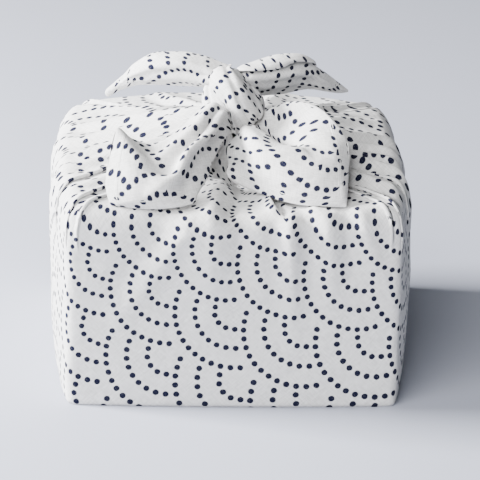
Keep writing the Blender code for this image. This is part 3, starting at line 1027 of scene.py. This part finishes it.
    def mapped(
        self, column: int, row: int, cell_column: int, cell_row: int
    ) -> tuple[float, float]:
        """The cloth coordinates of a crossing, on the panel of the cell in question."""
        line = self.columns[column]
        height, reach = self.level(row)
        if self.level(cell_row)[1] < 0.0:
            point = self.place(column, row)
            return point.x, point.y
        rise = height if reach >= 1.0 else self.edge_height + self.run_over_top(reach)
        side, pleat = self.cell_side(cell_column, cell_row)
        shut = 1.0 - self.crease_strength(height, reach)
        turns = (line.rim + line.flat * shut - side.value - 0.5 + 2.0) % 4.0 - 2.0
        gather = mix(max(reach, 0.0), 1.0, GATHER_KEPT) if reach < 1.0 else 1.0
        across = turns * 2.0 * self.half_side * gather + pleat
        out = self.half_side + rise
        return (
            (across, -out),
            (out, across),
            (-across, out),
            (-out, -across),
        )[side.value]

    def build(self) -> bpy.types.Object:
        """The finished skin."""
        self.lay_columns()
        rows = self.base_rows + self.side_rows + self.top_rows
        skin = woven_grid(
            "wrapped_panels", len(self.columns) - 1, rows, self.place, self.mapped, self.laid
        )
        weld(skin, closed=True)
        thicken(skin)
        return skin


GATHER_KEPT = 0.12
PLAIN_LAY = PrintLay()
FRONT_LAY = PrintLay(-4.1, (10.0, -126.0), (5.3, 2.6), 16.0)
PANEL_SIDES = (
    (Side.FRONT, 0.0),
    (Side.RIGHT, -14.0),
    (Side.RIGHT, -6.0),
    (Side.RIGHT, 0.0),
    (Side.RIGHT, 14.0),
    (Side.BACK, 0.0),
    (Side.LEFT, -14.0),
    (Side.LEFT, 0.0),
    (Side.LEFT, 6.0),
    (Side.LEFT, 14.0),
)


class TailRow(NamedTuple):
    """A section across a tail, in millimetres.

    from_tip is the distance along the cloth's diagonal, and near_at the cloth's own place of
    the near edge across it. The wings are what is folded past each edge: over the front
    where positive, behind where negative. line goes from the near edge to the far one.
    """

    name: str
    from_tip: float
    near_at: float
    near_wing: float
    far_wing: float
    line: tuple[Point, ...]


class Pucker(NamedTuple):
    """A soft ridge along a tail: place and width as shares across, height and reach in mm."""

    across: float
    width: float
    height: float
    start: float
    end: float


@dataclass
class Tail:
    """A free corner of the cloth, from its tip to where it goes into the knot."""

    name: str
    rows: tuple[TailRow, ...]
    puckers: tuple[Pucker, ...]
    corner: Point
    inward: Point
    sideways: Point
    lay: PrintLay = PrintLay()
    facing: Vector = field(default_factory=lambda: Vector((0.0, -1.0, 0.35)))
    fold_radius: float = 1.1
    opening: float = 0.10
    steps_along: int = 84
    steps_across: int = 34
    steps_wing: int = 14
    ripple: float = 0.45
    net: list[list[Vector]] = field(default_factory=list)
    cloth: list[tuple] = field(default_factory=list)

    def section(self, share: float) -> TailRow:
        """The section this share of the way from the tip to the root."""
        values = [
            Vector((row.from_tip, row.near_at, row.near_wing, row.far_wing)) for row in self.rows
        ]
        line = [
            through([Vector(point) for point in points], share)
            for points in zip(*(row.line for row in self.rows))
        ]
        return TailRow("", *through(values, share), tuple(line))

    def puckered(self, across: float, from_tip: float) -> float:
        """How far the ridges lift the cloth here."""
        total = 0.0
        for pucker in self.puckers:
            along = (from_tip - pucker.start) / (pucker.end - pucker.start)
            if 0.0 < along < 1.0:
                away = (across - pucker.across) / pucker.width
                total += pucker.height * math.exp(-away * away) * math.sin(math.pi * along) ** 0.7
        return total

    def spread(self) -> None:
        """Works out every crossing of the tail's grid and its place on the flat cloth."""
        self.net.clear()
        self.cloth.clear()
        for row in range(self.steps_along + 1):
            even = row / self.steps_along
            section = self.section(even)
            after = self.section(min(even + 0.01, 1.0))
            before = self.section(max(even - 0.01, 0.0))
            curve = section.line
            centre = len(curve) // 2
            points = [through(curve, step / self.steps_across) for step in range(self.steps_across + 1)]
            along = after.line[centre] - before.line[centre]
            normals = []
            for step in range(self.steps_across + 1):
                share = step / self.steps_across
                side = through(curve, min(share + 0.05, 1.0)) - through(curve, max(share - 0.05, 0.0))
                normal = side.cross(along)
                normals.append(
                    normal.normalized() if normal.length > 1e-6 else self.facing.normalized()
                )
            if normals[self.steps_across // 2].dot(self.facing) < 0:
                normals = [-normal for normal in normals]
            grown = smooth_step(section.from_tip / 14.0)
            raised = [
                point
                + normal * self.puckered(step / self.steps_across, section.from_tip) * grown
                + noise.noise_vector(point * 0.09) * self.ripple * grown
                for step, (point, normal) in enumerate(zip(points, normals))
            ]
            lengths = [0.0]
            for first, second in zip(raised, raised[1:]):
                lengths.append(lengths[-1] + (second - first).length)
            middle_cloth = [section.near_at + length for length in lengths]
            if section.near_wing == 0.0 and section.far_wing == 0.0 and lengths[-1] > 0.0:
                stretch = 2.0 * section.from_tip / lengths[-1]
                middle_cloth = [length * stretch - section.from_tip for length in lengths]
            near = self.wing(raised, normals, section.near_wing)
            far = self.wing(raised[::-1], normals[::-1], section.far_wing)
            self.net.append(near[::-1] + raised + far)
            near_cloth = self.wing_cloth(section.near_at, -section.from_tip, section.near_wing)
            far_cloth = self.wing_cloth(middle_cloth[-1], section.from_tip, section.far_wing)
            self.cloth.append((section.from_tip, near_cloth[::-1], middle_cloth, far_cloth))

    def wing(
        self, section: Sequence[Vector], normals: Sequence[Vector], length: float
    ) -> list[Vector]:
        """The cloth turned round an edge and laid back over or under itself.

        Args:
            section: the visible cloth's points, from the turned edge inwards.
            normals: the outward direction at each of them.
            length: how far the wing reaches from the edge, negative where it goes behind.

        Returns:
            The wing's points, from the edge to its own end.
        """
        edge = section[0]
        if abs(length) < 0.01:
            return [edge.copy() for step in range(self.steps_wing)]
        side = math.copysign(1.0, length)
        inward = (section[2] - edge).normalized()
        radius = min(self.fold_radius, abs(length) / 4.0)
        arc = math.pi * radius
        points = []
        for step in range(1, self.steps_wing + 1):
            run = abs(length) * (step / self.steps_wing) ** 1.6
            angle = min(run, arc) / radius
            beyond = max(0.0, run - arc)
            base, normal = self.walk(section, normals, beyond)
            rise = radius * (1.0 - math.cos(angle)) + self.opening * beyond
            points.append(base + normal * side * rise - inward * radius * math.sin(angle))
        return points

    def walk(
        self, section: Sequence[Vector], normals: Sequence[Vector], distance: float
    ) -> tuple[Vector, Vector]:
        """The point and the outward direction this far along a section."""
        left = distance
        for index in range(len(section) - 1):
            step = (section[index + 1] - section[index]).length
            if left <= step and step > 0.0:
                share = left / step
                point = section[index].lerp(section[index + 1], share)
                return point, normals[index].lerp(normals[index + 1], share).normalized()
            left -= step
        return section[-1], normals[-1]

    def wing_cloth(self, start: float, end: float, length: float) -> list[float]:
        """The wing's places across the flat cloth from its edge, measured back from the hem."""
        sign = math.copysign(1.0, end)
        if abs(length) < 0.01:
            return [start] * (self.steps_wing + 1)
        return [
            end - sign * abs(length) * (1.0 - (step / self.steps_wing) ** 1.6)
            for step in range(self.steps_wing + 1)
        ]

    def flat(self) -> Flat:
        """The tail's share of the flat cloth, unfolded row by row."""
        widths = []
        for from_tip, near_cloth, middle_cloth, far_cloth in self.cloth:
            parts = (near_cloth, middle_cloth, far_cloth)
            widths.append(sum(abs(part[-1] - part[0]) for part in parts))
        places = [row[0] for row in self.cloth]
        area = sum(
            (second - first) * (wide + wider) / 2.0
            for first, second, wide, wider in zip(places, places[1:], widths, widths[1:])
        )
        return Flat(max(widths) * MM, max(places) * MM, area * MM ** 2)

    def place(self, column: int, row: int) -> Vector:
        """The crossing's point in mm."""
        return self.net[row][column]

    def mapped(
        self, column: int, row: int, cell_column: int, cell_row: int
    ) -> tuple[float, float]:
        """The crossing's place on the flat cloth in mm."""
        from_tip, near_cloth, middle_cloth, far_cloth = self.cloth[row]
        last_near = self.steps_wing
        last_middle = last_near + self.steps_across
        if cell_column < last_near:
            across = near_cloth[column]
        elif cell_column < last_middle:
            across = middle_cloth[column - last_near]
        else:
            across = far_cloth[column - last_middle]
        spot = Vector(self.corner) + Vector(self.inward) * from_tip + Vector(self.sideways) * across
        return spot.x, spot.y

    def build(self) -> bpy.types.Object:
        """The finished tail."""
        self.spread()
        columns = self.steps_across + 2 * self.steps_wing
        tail = woven_grid(
            self.name, columns, self.steps_along, self.place, self.mapped, lambda *cell: self.lay
        )
        weld(tail, closed=False)
        thicken(tail, 0.0)
        return tail


FRONT_LEFT_ROWS = (
    TailRow("tip", 0.0, 0.0, 0, 0, (
        (-55, -70, 94.5), (-55, -70, 94.5), (-55, -70, 94.5), (-55, -70, 94.5), (-55, -70, 94.5),
    )),
    TailRow("hem", 13.0, -13.0, 0, 0, (
        (-57, -61, 103), (-52, -67, 100.5), (-46.5, -71, 98), (-42, -72, 96), (-37.5, -72, 93.5),
    )),
    TailRow("corners", 26.0, -26.0, 0, 0, (
        (-52.5, -43, 120), (-46, -57, 113.5), (-39, -65, 107), (-30, -69.5, 99.5), (-21, -70, 95),
    )),
    TailRow("below", 34.0, -20.0, -9, -9, (
        (-45.5, -40, 115), (-38, -52, 110), (-30.5, -60, 106.5), (-24, -62, 103.5), (-17, -62, 98),
    )),
    TailRow("fall", 43.0, -17.0, -18, -16, (
        (-37.5, -37, 111.5), (-31, -46, 111.5), (-25, -52, 111.5), (-20, -54, 110), (-12.5, -50, 100.5),
    )),
    TailRow("spread", 54.0, -14.0, -20, -16, (
        (-28.5, -28, 112), (-23, -38, 115.5), (-18.5, -44, 116), (-15, -45, 113.5), (-9.5, -39, 105),
    )),
    TailRow("gather", 66.0, -12.0, -16, -14, (
        (-20, -16, 115), (-15.5, -28, 120), (-12, -34, 119.5), (-10, -33, 115.5), (-5.5, -27, 109),
    )),
    TailRow("lobe", 77.0, -10.0, -8, -8, (
        (-13, -6, 119), (-9.5, -14, 123), (-6.5, -21, 123), (-4.5, -22, 119.5), (-1.5, -19, 112),
    )),
    TailRow("end", 85.0, -8.0, -3, -3, (
        (-8.5, 1, 117), (-5.5, -6, 119), (-3, -12, 119.5), (-1.5, -13, 116.5), (0, -12, 111),
    )),
)

FRONT_RIGHT_ROWS = (
    TailRow("tip", 0.0, 0.0, 0, 0, (
        (49, -70, 94.5), (49, -70, 94.5), (49, -70, 94.5), (49, -70, 94.5), (49, -70, 94.5),
    )),
    TailRow("hem", 13.0, -13.0, 0, 0, (
        (32, -68, 94.5), (38.5, -69, 97), (43.5, -67, 100), (47.5, -62, 103.5), (50.5, -54, 105.5),
    )),
    TailRow("right end", 27.0, -27.0, 0, 0, (
        (14, -58, 95), (24.5, -64, 101.5), (35, -61, 108), (43.5, -50, 112), (50, -37, 114.5),
    )),
    TailRow("pocket end", 40.0, -39.0, 0, -8, (
        (-1.5, -42, 97.5), (12, -54, 107.5), (29.5, -50, 115), (34.5, -38, 113.5), (42.5, -26, 121.5),
    )),
    TailRow("pocket", 50.0, -34.0, -10, -12, (
        (-2, -32, 101), (9, -45, 111.5), (22.5, -42, 114), (25.5, -27, 107.5), (33.5, -17, 124),
    )),
    TailRow("narrow", 60.0, -26.0, -12, -10, (
        (-2.5, -25, 104), (5.5, -34, 114), (16.5, -31, 114.5), (19.5, -19, 107.5), (24.5, -11, 122.5),
    )),
    TailRow("roll", 70.0, -20.0, -8, -6, (
        (-1.5, -18, 106), (3.5, -24, 114), (11, -21, 115), (15, -13, 109), (16, -7, 117.5),
    )),
    TailRow("root", 80.0, -14.0, -4, -3, (
        (1.5, -11, 106.5), (4.5, -15, 111.5), (8, -14, 113.5), (10.5, -9, 111), (11.5, -4, 114),
    )),
    TailRow("end", 88.0, -10.0, -2, -2, (
        (3.5, -4, 107), (6, -7, 110.5), (8, -7, 112.5), (9.5, -4, 112.5), (10, 0, 114),
    )),
)

BACK_LEFT_ROWS = (
    TailRow("tip", 1.0, -1.0, 0, -1, (
        (-57.5, 25, 113.5), (-58, 25, 114), (-58.5, 25, 115), (-58.5, 25, 116), (-58, 25, 117),
    )),
    TailRow("narrow", 10.0, -9.0, -1, -8, (
        (-51.5, 23, 117.5), (-51, 21, 119.5), (-51, 20, 121.5), (-50.5, 20, 123.5), (-50, 22, 125),
    )),
    TailRow("leaf", 20.0, -18.0, -2, -15, (
        (-44, 19, 121.5), (-44, 15, 124.5), (-44.5, 13.5, 127.5), (-45, 14, 130), (-45, 17, 132),
    )),
    TailRow("broad", 32.0, -20.0, -8, -18, (
        (-33, 13, 123.5), (-33, 8, 128.5), (-33.5, 6, 133), (-34.5, 8, 136.5), (-35.5, 13, 138.5),
    )),
    TailRow("turned", 45.0, -18.0, -9, -14, (
        (-22, 8, 125), (-22.5, 3, 130), (-23, 1.5, 134.5), (-23, 5, 138), (-24, 10, 140),
    )),
    TailRow("folded", 57.0, -16.0, -8, -9, (
        (-15, 5, 125.5), (-14.5, 0, 130), (-14, -1, 134), (-13.5, 3, 137), (-13, 9, 139),
    )),
    TailRow("root", 67.0, -12.0, -5, -5, (
        (-10, 0, 127), (-9, -3, 130.5), (-8, -3, 133), (-7, 1, 135), (-5.5, 7, 136.5),
    )),
    TailRow("end", 76.0, -8.0, -2, 2, (
        (-4, 3, 126.5), (-3, 1, 130), (-2, 1, 132.5), (-1.5, 3, 134), (-0.5, 6, 135),
    )),
)

BACK_RIGHT_ROWS = (
    TailRow("tip", 1.0, -1.0, 0, -1, (
        (55, 27, 116.5), (55, 27, 117), (55, 27, 117), (54.5, 27, 117.5), (54.5, 27, 117.5),
    )),
    TailRow("narrow", 9.0, -8.0, -1, -6, (
        (50, 25, 116.5), (50, 23, 118.5), (49.5, 22, 120), (49, 22, 121.5), (48.5, 23.5, 123),
    )),
    TailRow("leaf", 18.0, -15.0, -3, -8, (
        (43.5, 22, 118.5), (43, 18, 121.5), (42.5, 16.5, 124.5), (42, 17, 126.5), (41.5, 19, 129),
    )),
    TailRow("corner", 24.0, -17.0, -5, 3, (
        (38, 21, 119.5), (38, 16, 123.5), (37.5, 13.5, 128), (37.5, 14, 131), (38, 17, 132.5),
    )),
    TailRow("broad", 33.0, -18.0, -8, 8, (
        (31.5, 18, 120), (30.5, 12, 125.5), (30.5, 8.5, 130.5), (30.5, 10, 134), (31, 15, 136.5),
    )),
    TailRow("folded", 45.0, -16.0, -9, 11, (
        (22, 14, 119.5), (21.5, 8, 125.5), (21.5, 4.5, 130.5), (21.5, 6, 135), (21.5, 12, 137),
    )),
    TailRow("gather", 56.0, -12.0, -6, 11, (
        (14, 9, 120.5), (13.5, 4, 126), (13.5, 1, 130.5), (13.5, 3, 134), (13.5, 9, 135.5),
    )),
    TailRow("root", 66.0, -9.0, -3, 8, (
        (8, 4, 123.5), (7.5, 1, 127.5), (7, -1, 131), (6.5, 1, 133), (6, 5, 134),
    )),
    TailRow("end", 73.0, -7.0, -2, 2, (
        (5, 5, 124), (4.5, 3, 127), (4.5, 2, 129.5), (4, 3, 131.5), (3.5, 5, 132.5),
    )),
)


def tails() -> tuple[Tail, ...]:
    """The four free corners, each with its own puckers and its corner of the cloth."""
    reach = CLOTH.half_diagonal
    return (
        Tail(
            "front_left_tail",
            FRONT_LEFT_ROWS,
            (
                Pucker(0.66, 0.07, 3.6, 16, 84),
                Pucker(0.83, 0.08, -2.4, 20, 84),
                Pucker(0.30, 0.09, 2.2, 26, 84),
                Pucker(0.48, 0.08, -2.0, 24, 84),
                Pucker(0.12, 0.07, 1.6, 40, 84),
            ),
            (0.0, -reach, 0.0),
            (0.0, 1.0, 0.0),
            (1.0, 0.0, 0.0),
            PrintLay(8.0, (-7.3, -345.2), (1.1, 15.4), 0.0, 0.92),
        ),
        Tail(
            "front_right_tail",
            FRONT_RIGHT_ROWS,
            (
                Pucker(0.30, 0.08, 1.8, 26, 82),
                Pucker(0.14, 0.08, -1.6, 22, 82),
                Pucker(0.58, 0.08, -2.2, 30, 82),
                Pucker(0.80, 0.08, 1.9, 24, 82),
            ),
            (reach, 0.0, 0.0),
            (-1.0, 0.0, 0.0),
            (0.0, -1.0, 0.0),
            PrintLay(50.0, (317.0, -19.0), (6.6, -5.9), 0.0, 0.92),
        ),
        Tail(
            "back_left_tail",
            BACK_LEFT_ROWS,
            (
                Pucker(0.62, 0.10, 1.6, 8, 70),
                Pucker(0.25, 0.10, 1.1, 20, 76),
                Pucker(0.44, 0.07, -1.1, 30, 76),
            ),
            (-reach, 0.0, 0.0),
            (1.0, 0.0, 0.0),
            (0.0, 1.0, 0.0),
        ),
        Tail(
            "back_right_tail",
            BACK_RIGHT_ROWS,
            (
                Pucker(0.55, 0.10, 1.5, 10, 66),
                Pucker(0.25, 0.09, 1.0, 16, 66),
            ),
            (0.0, reach, 0.0),
            (0.0, -1.0, 0.0),
            (1.0, 0.0, 0.0),
        ),
    )


class StrandRow(NamedTuple):
    """A section across a strand of the knot, from one edge of its face to the other, in mm."""

    name: str
    line: tuple[Point, ...]
    thick: float


BAND_ROWS = (
    StrandRow(
        "back of crown",
        ((-13, 10, 121), (-11.5, 10, 127), (-8, 11, 130.5), (-3, 11, 131.5), (2, 10, 128)),
        6.0,
    ),
    StrandRow(
        "crown",
        ((-12.5, 3, 128), (-11.5, 0, 133), (-7.5, -1, 136.5), (-1.5, 0, 137), (3, 4, 133)),
        6.0,
    ),
    StrandRow(
        "brow",
        ((-9, -6, 126.5), (-8.5, -9, 130), (-4.5, -10.5, 134), (2, -8, 134.5), (8, -2, 128.5)),
        6.0,
    ),
    StrandRow(
        "upper face",
        ((-5.5, -10, 123.5), (-4.5, -13, 127), (-1, -15, 130), (5.5, -12.5, 129.5), (11.5, -5, 124)),
        6.0,
    ),
    StrandRow(
        "face",
        ((-2, -12, 119), (-2, -15, 122), (1, -18, 125), (7.5, -15, 124.5), (14, -8, 119)),
        6.0,
    ),
    StrandRow(
        "chin",
        ((-0.5, -13, 114), (0.5, -15, 117), (3.5, -18, 120), (9, -15.5, 119.5), (13.5, -10, 115.5)),
        6.0,
    ),
    StrandRow(
        "tuck",
        ((1, -11, 109), (3, -13, 111), (6, -15, 112.5), (9, -14, 113.5), (10.5, -11, 113.5)),
        6.0,
    ),
    StrandRow(
        "under",
        ((4, -4, 102.5), (5, -6, 104.5), (6.5, -7, 105), (8, -6, 105.5), (9.5, -4, 105)),
        4.0,
    ),
)

LEFT_STRAND_ROWS = (
    StrandRow("from behind", ((-3, 8, 126), (-5, 8, 130), (-1, 5, 133)), 5.0),
    StrandRow("shoulder", ((-13, 4, 122), (-12, 0, 129.5), (-6, -2, 131)), 5.0),
    StrandRow("cheek", ((-13, -3, 116), (-11.5, -7, 121), (-4, -9, 124)), 5.0),
    StrandRow("turn", ((-8, -6, 110.5), (-6, -11, 115), (0, -12, 116)), 5.0),
    StrandRow("tucked", ((-3, -7, 106), (1, -9, 108), (5, -10, 110)), 4.0),
)

RIGHT_STRAND_ROWS = (
    StrandRow("from behind", ((2, 7, 128), (6, 6, 129), (9, 4, 126)), 5.0),
    StrandRow("shoulder", ((5, 0, 127), (10.5, 0, 126), (14, 4, 121)), 5.0),
    StrandRow("cheek", ((8, -6, 120), (13.5, -3, 118), (15, 2, 114)), 5.0),
    StrandRow("tucked", ((6, -7, 112), (9.5, -6, 110), (11, -1, 107)), 4.0),
)


@dataclass
class Strand:
    """A gathered strand of cloth that goes round the knot, with creases along it."""

    name: str
    rows: tuple[StrandRow, ...]
    start: tuple[float, float]
    heading: float
    lay: PrintLay = PrintLay()
    centre: Vector = field(default_factory=lambda: Vector((3.0, -1.0, 117.0)))
    creases: tuple[float, ...] = (0.22, 0.64, 0.86)
    crease_depth: float = 1.0
    crease_width: float = 0.04
    steps_along: int = 60
    steps_face: int = 30
    steps_back: int = 14
    net: list[list[Vector]] = field(default_factory=list)
    runs: list[list[tuple[float, float]]] = field(default_factory=list)

    def spread(self) -> None:
        """Works out every crossing of the strand and its place on the flat cloth."""
        lines = list(zip(*(row.line for row in self.rows)))
        thick = [row.thick for row in self.rows]
        walked = 0.0
        previous = None
        for row in range(self.steps_along + 1):
            share = row / self.steps_along
            curve = [through([Vector(point) for point in line], share) for line in lines]
            middle = curve[len(curve) // 2]
            depth = through(thick, share)
            centres = [Vector(point) for point in lines[len(lines) // 2]]
            ahead = through(centres, min(share + 0.01, 1.0))
            ahead = ahead - through(centres, max(share - 0.01, 0.0))
            out = (curve[-1] - curve[0]).cross(ahead).normalized()
            if out.dot(middle - self.centre) < 0:
                out = -out
            if previous is not None:
                walked += (middle - previous).length
            previous = middle
            ring = []
            for step in range(self.steps_face + 1):
                across = step / self.steps_face
                point = through(curve, across)
                for number, crease in enumerate(self.creases):
                    drift = crease + 0.06 * math.sin(share * 5.0 + number * 2.1)
                    away = (across - drift) / self.crease_width
                    point -= out * self.crease_depth * math.exp(-away * away)
                ring.append(point + noise.noise_vector(point * 0.12) * 0.4)
            for step in range(1, self.steps_back):
                across = 1.0 - step / self.steps_back
                bulge = math.sin(math.pi * across) ** 0.6
                ring.append(curve[0].lerp(curve[-1], across) - out * depth * bulge)
            lengths = [0.0]
            for first, second in zip(ring, ring[1:]):
                lengths.append(lengths[-1] + (second - first).length)
            self.net.append(ring + [ring[0]])
            lengths.append(lengths[-1] + (ring[0] - ring[-1]).length)
            self.runs.append([(walked, length) for length in lengths])

    def flat(self) -> Flat:
        """The strand's share of the flat cloth: its mean girth by its mean length."""
        girth = sum(run[-1][1] for run in self.runs) / len(self.runs)
        columns = len(self.net[0]) - 1
        length = sum(
            (second[column] - first[column]).length
            for first, second in zip(self.net, self.net[1:])
            for column in range(columns)
        )
        length /= columns
        return Flat(girth * MM, length * MM, girth * length * MM ** 2)

    def place(self, column: int, row: int) -> Vector:
        """The crossing's point in mm."""
        return self.net[row][column]

    def mapped(
        self, column: int, row: int, cell_column: int, cell_row: int
    ) -> tuple[float, float]:
        """The crossing's place on the flat cloth in mm."""
        along, across = self.runs[row][column]
        turn = math.radians(self.heading)
        return (
            self.start[0] + along * math.cos(turn) - across * math.sin(turn),
            self.start[1] + along * math.sin(turn) + across * math.cos(turn),
        )

    def build(self) -> bpy.types.Object:
        """The finished strand."""
        self.spread()
        columns = self.steps_face + self.steps_back
        strand = woven_grid(
            self.name, columns, self.steps_along, self.place, self.mapped, lambda *cell: self.lay
        )
        weld(strand, closed=True)
        thicken(strand)
        return strand


def strands() -> tuple[Strand, ...]:
    """The knot's band and the strands that come out from under it."""
    return (
        Strand("knot_band", BAND_ROWS, (20.0, -240.0), 130.0),
        Strand("left_strand", LEFT_STRAND_ROWS, (-230.0, 20.0), 20.0),
        Strand("right_strand", RIGHT_STRAND_ROWS, (230.0, 20.0), 120.0),
    )


@dataclass
class Studio:
    """The pale floor, soft lights and the camera of the photograph."""

    azimuth: float = -2.0
    elevation: float = 20.8
    roll: float = 1.2
    distance: float = 1.4017
    lens: float = 225.0
    target: Point = (0.00489, 0.0, 0.05194)
    floor_colour: Colour = (0.36, 0.378, 0.45, 1.0)

    def camera(self) -> None:
        """The camera at the photograph's angle."""
        turn, rise = math.radians(self.azimuth), math.radians(self.elevation)
        back = Vector(
            (math.sin(turn) * math.cos(rise), -math.cos(turn) * math.cos(rise), math.sin(rise))
        )
        right = back.cross(Vector((0, 0, 1))).normalized() * -1.0
        up = back.cross(right)
        rotation = Matrix((right, up, back)).transposed().to_4x4()
        lens = bpy.data.cameras.new("camera")
        lens.lens = self.lens
        lens.sensor_width = 36.0
        lens.clip_start = 0.05
        eye = bpy.data.objects.new("camera", lens)
        spin = Matrix.Rotation(math.radians(self.roll), 4, "Z")
        eye.matrix_world = (
            Matrix.Translation(Vector(self.target) + back * self.distance) @ rotation @ spin
        )
        bpy.context.scene.collection.objects.link(eye)
        bpy.context.scene.camera = eye

    def floor(self) -> None:
        """A plain pale floor."""
        ground = bmesh.new()
        bmesh.ops.create_grid(ground, x_segments=1, y_segments=1, size=3.0)
        mesh = bpy.data.meshes.new("floor")
        ground.to_mesh(mesh)
        ground.free()
        plane = bpy.data.objects.new("floor", mesh)
        bpy.context.scene.collection.objects.link(plane)
        material = bpy.data.materials.new("floor")
        material.use_nodes = True
        shader = material.node_tree.nodes["Principled BSDF"]
        shader.inputs["Base Color"].default_value = self.floor_colour
        shader.inputs["Roughness"].default_value = 0.6
        mesh.materials.append(material)

    def light(self, name: str, place: Point, size: float, power: float) -> None:
        """A soft square light that faces the parcel."""
        lamp = bpy.data.lights.new(name, "AREA")
        lamp.shape = "SQUARE"
        lamp.size = size
        lamp.energy = power
        holder = bpy.data.objects.new(name, lamp)
        holder.location = place
        aim = Vector((0.0, 0.0, 0.05)) - Vector(place)
        holder.rotation_mode = "QUATERNION"
        holder.rotation_quaternion = aim.to_track_quat("-Z", "Y")
        bpy.context.scene.collection.objects.link(holder)

    def build(self) -> None:
        """Sets the whole stage."""
        self.camera()
        self.floor()
        self.light("window", (-1.02, 0.06, 0.60), 0.36, 102.0)
        self.light("front fill", (-0.75, -1.30, 1.1), 1.6, 82.0)
        world = bpy.data.worlds.new("studio")
        world.use_nodes = True
        sky = world.node_tree.nodes["Background"]
        sky.inputs["Color"].default_value = (0.91, 0.95, 1.0, 1.0)
        sky.inputs["Strength"].default_value = 0.16
        bpy.context.scene.world = world


def covered(piece: bpy.types.Object) -> Flat:
    """What a sheet takes up of the flat cloth, from its cloth map."""
    mesh = piece.data
    spots = [Vector(loop.uv) for loop in mesh.uv_layers[CLOTH_MAP].data]
    area = 0.0
    for face in mesh.polygons:
        ring = [spots[index] for index in face.loop_indices]
        doubled = sum(first.cross(second) for first, second in zip(ring, ring[1:] + ring[:1]))
        area += abs(doubled) / 2.0
    width = max(spot.x for spot in spots) - min(spot.x for spot in spots)
    length = max(spot.y for spot in spots) - min(spot.y for spot in spots)
    return Flat(width, length, min(area, width * length))


def declare(piece: bpy.types.Object, finish: bpy.types.Material, flat: Flat) -> None:
    """Dresses a sheet, says what it is and makes it stand for the solid wrap."""
    piece.data.materials.append(finish)
    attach(piece, BODY)
    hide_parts(NODE)
    log.info(
        "%s: %d faces, %.0f x %.0f mm of the flat cloth, %.1f square cm",
        piece.name,
        len(piece.data.polygons),
        flat.width / MM,
        flat.length / MM,
        flat.area / MM ** 2 / 100.0,
    )


def main() -> None:
    """Builds the cloth piece by piece around the frame."""
    logging.basicConfig(level=logging.INFO, format="%(message)s")
    noise.seed_set(NOISE_SEED)
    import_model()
    Studio().build()
    cotton = PrintedCotton().build()
    skin = WrapSkin().build()
    declare(skin, cotton, covered(skin))
    for tail in tails():
        piece = tail.build()
        declare(piece, cotton, tail.flat())
    for strand in strands():
        piece = strand.build()
        declare(piece, cotton, strand.flat())


if __name__ == "__main__":
    main()
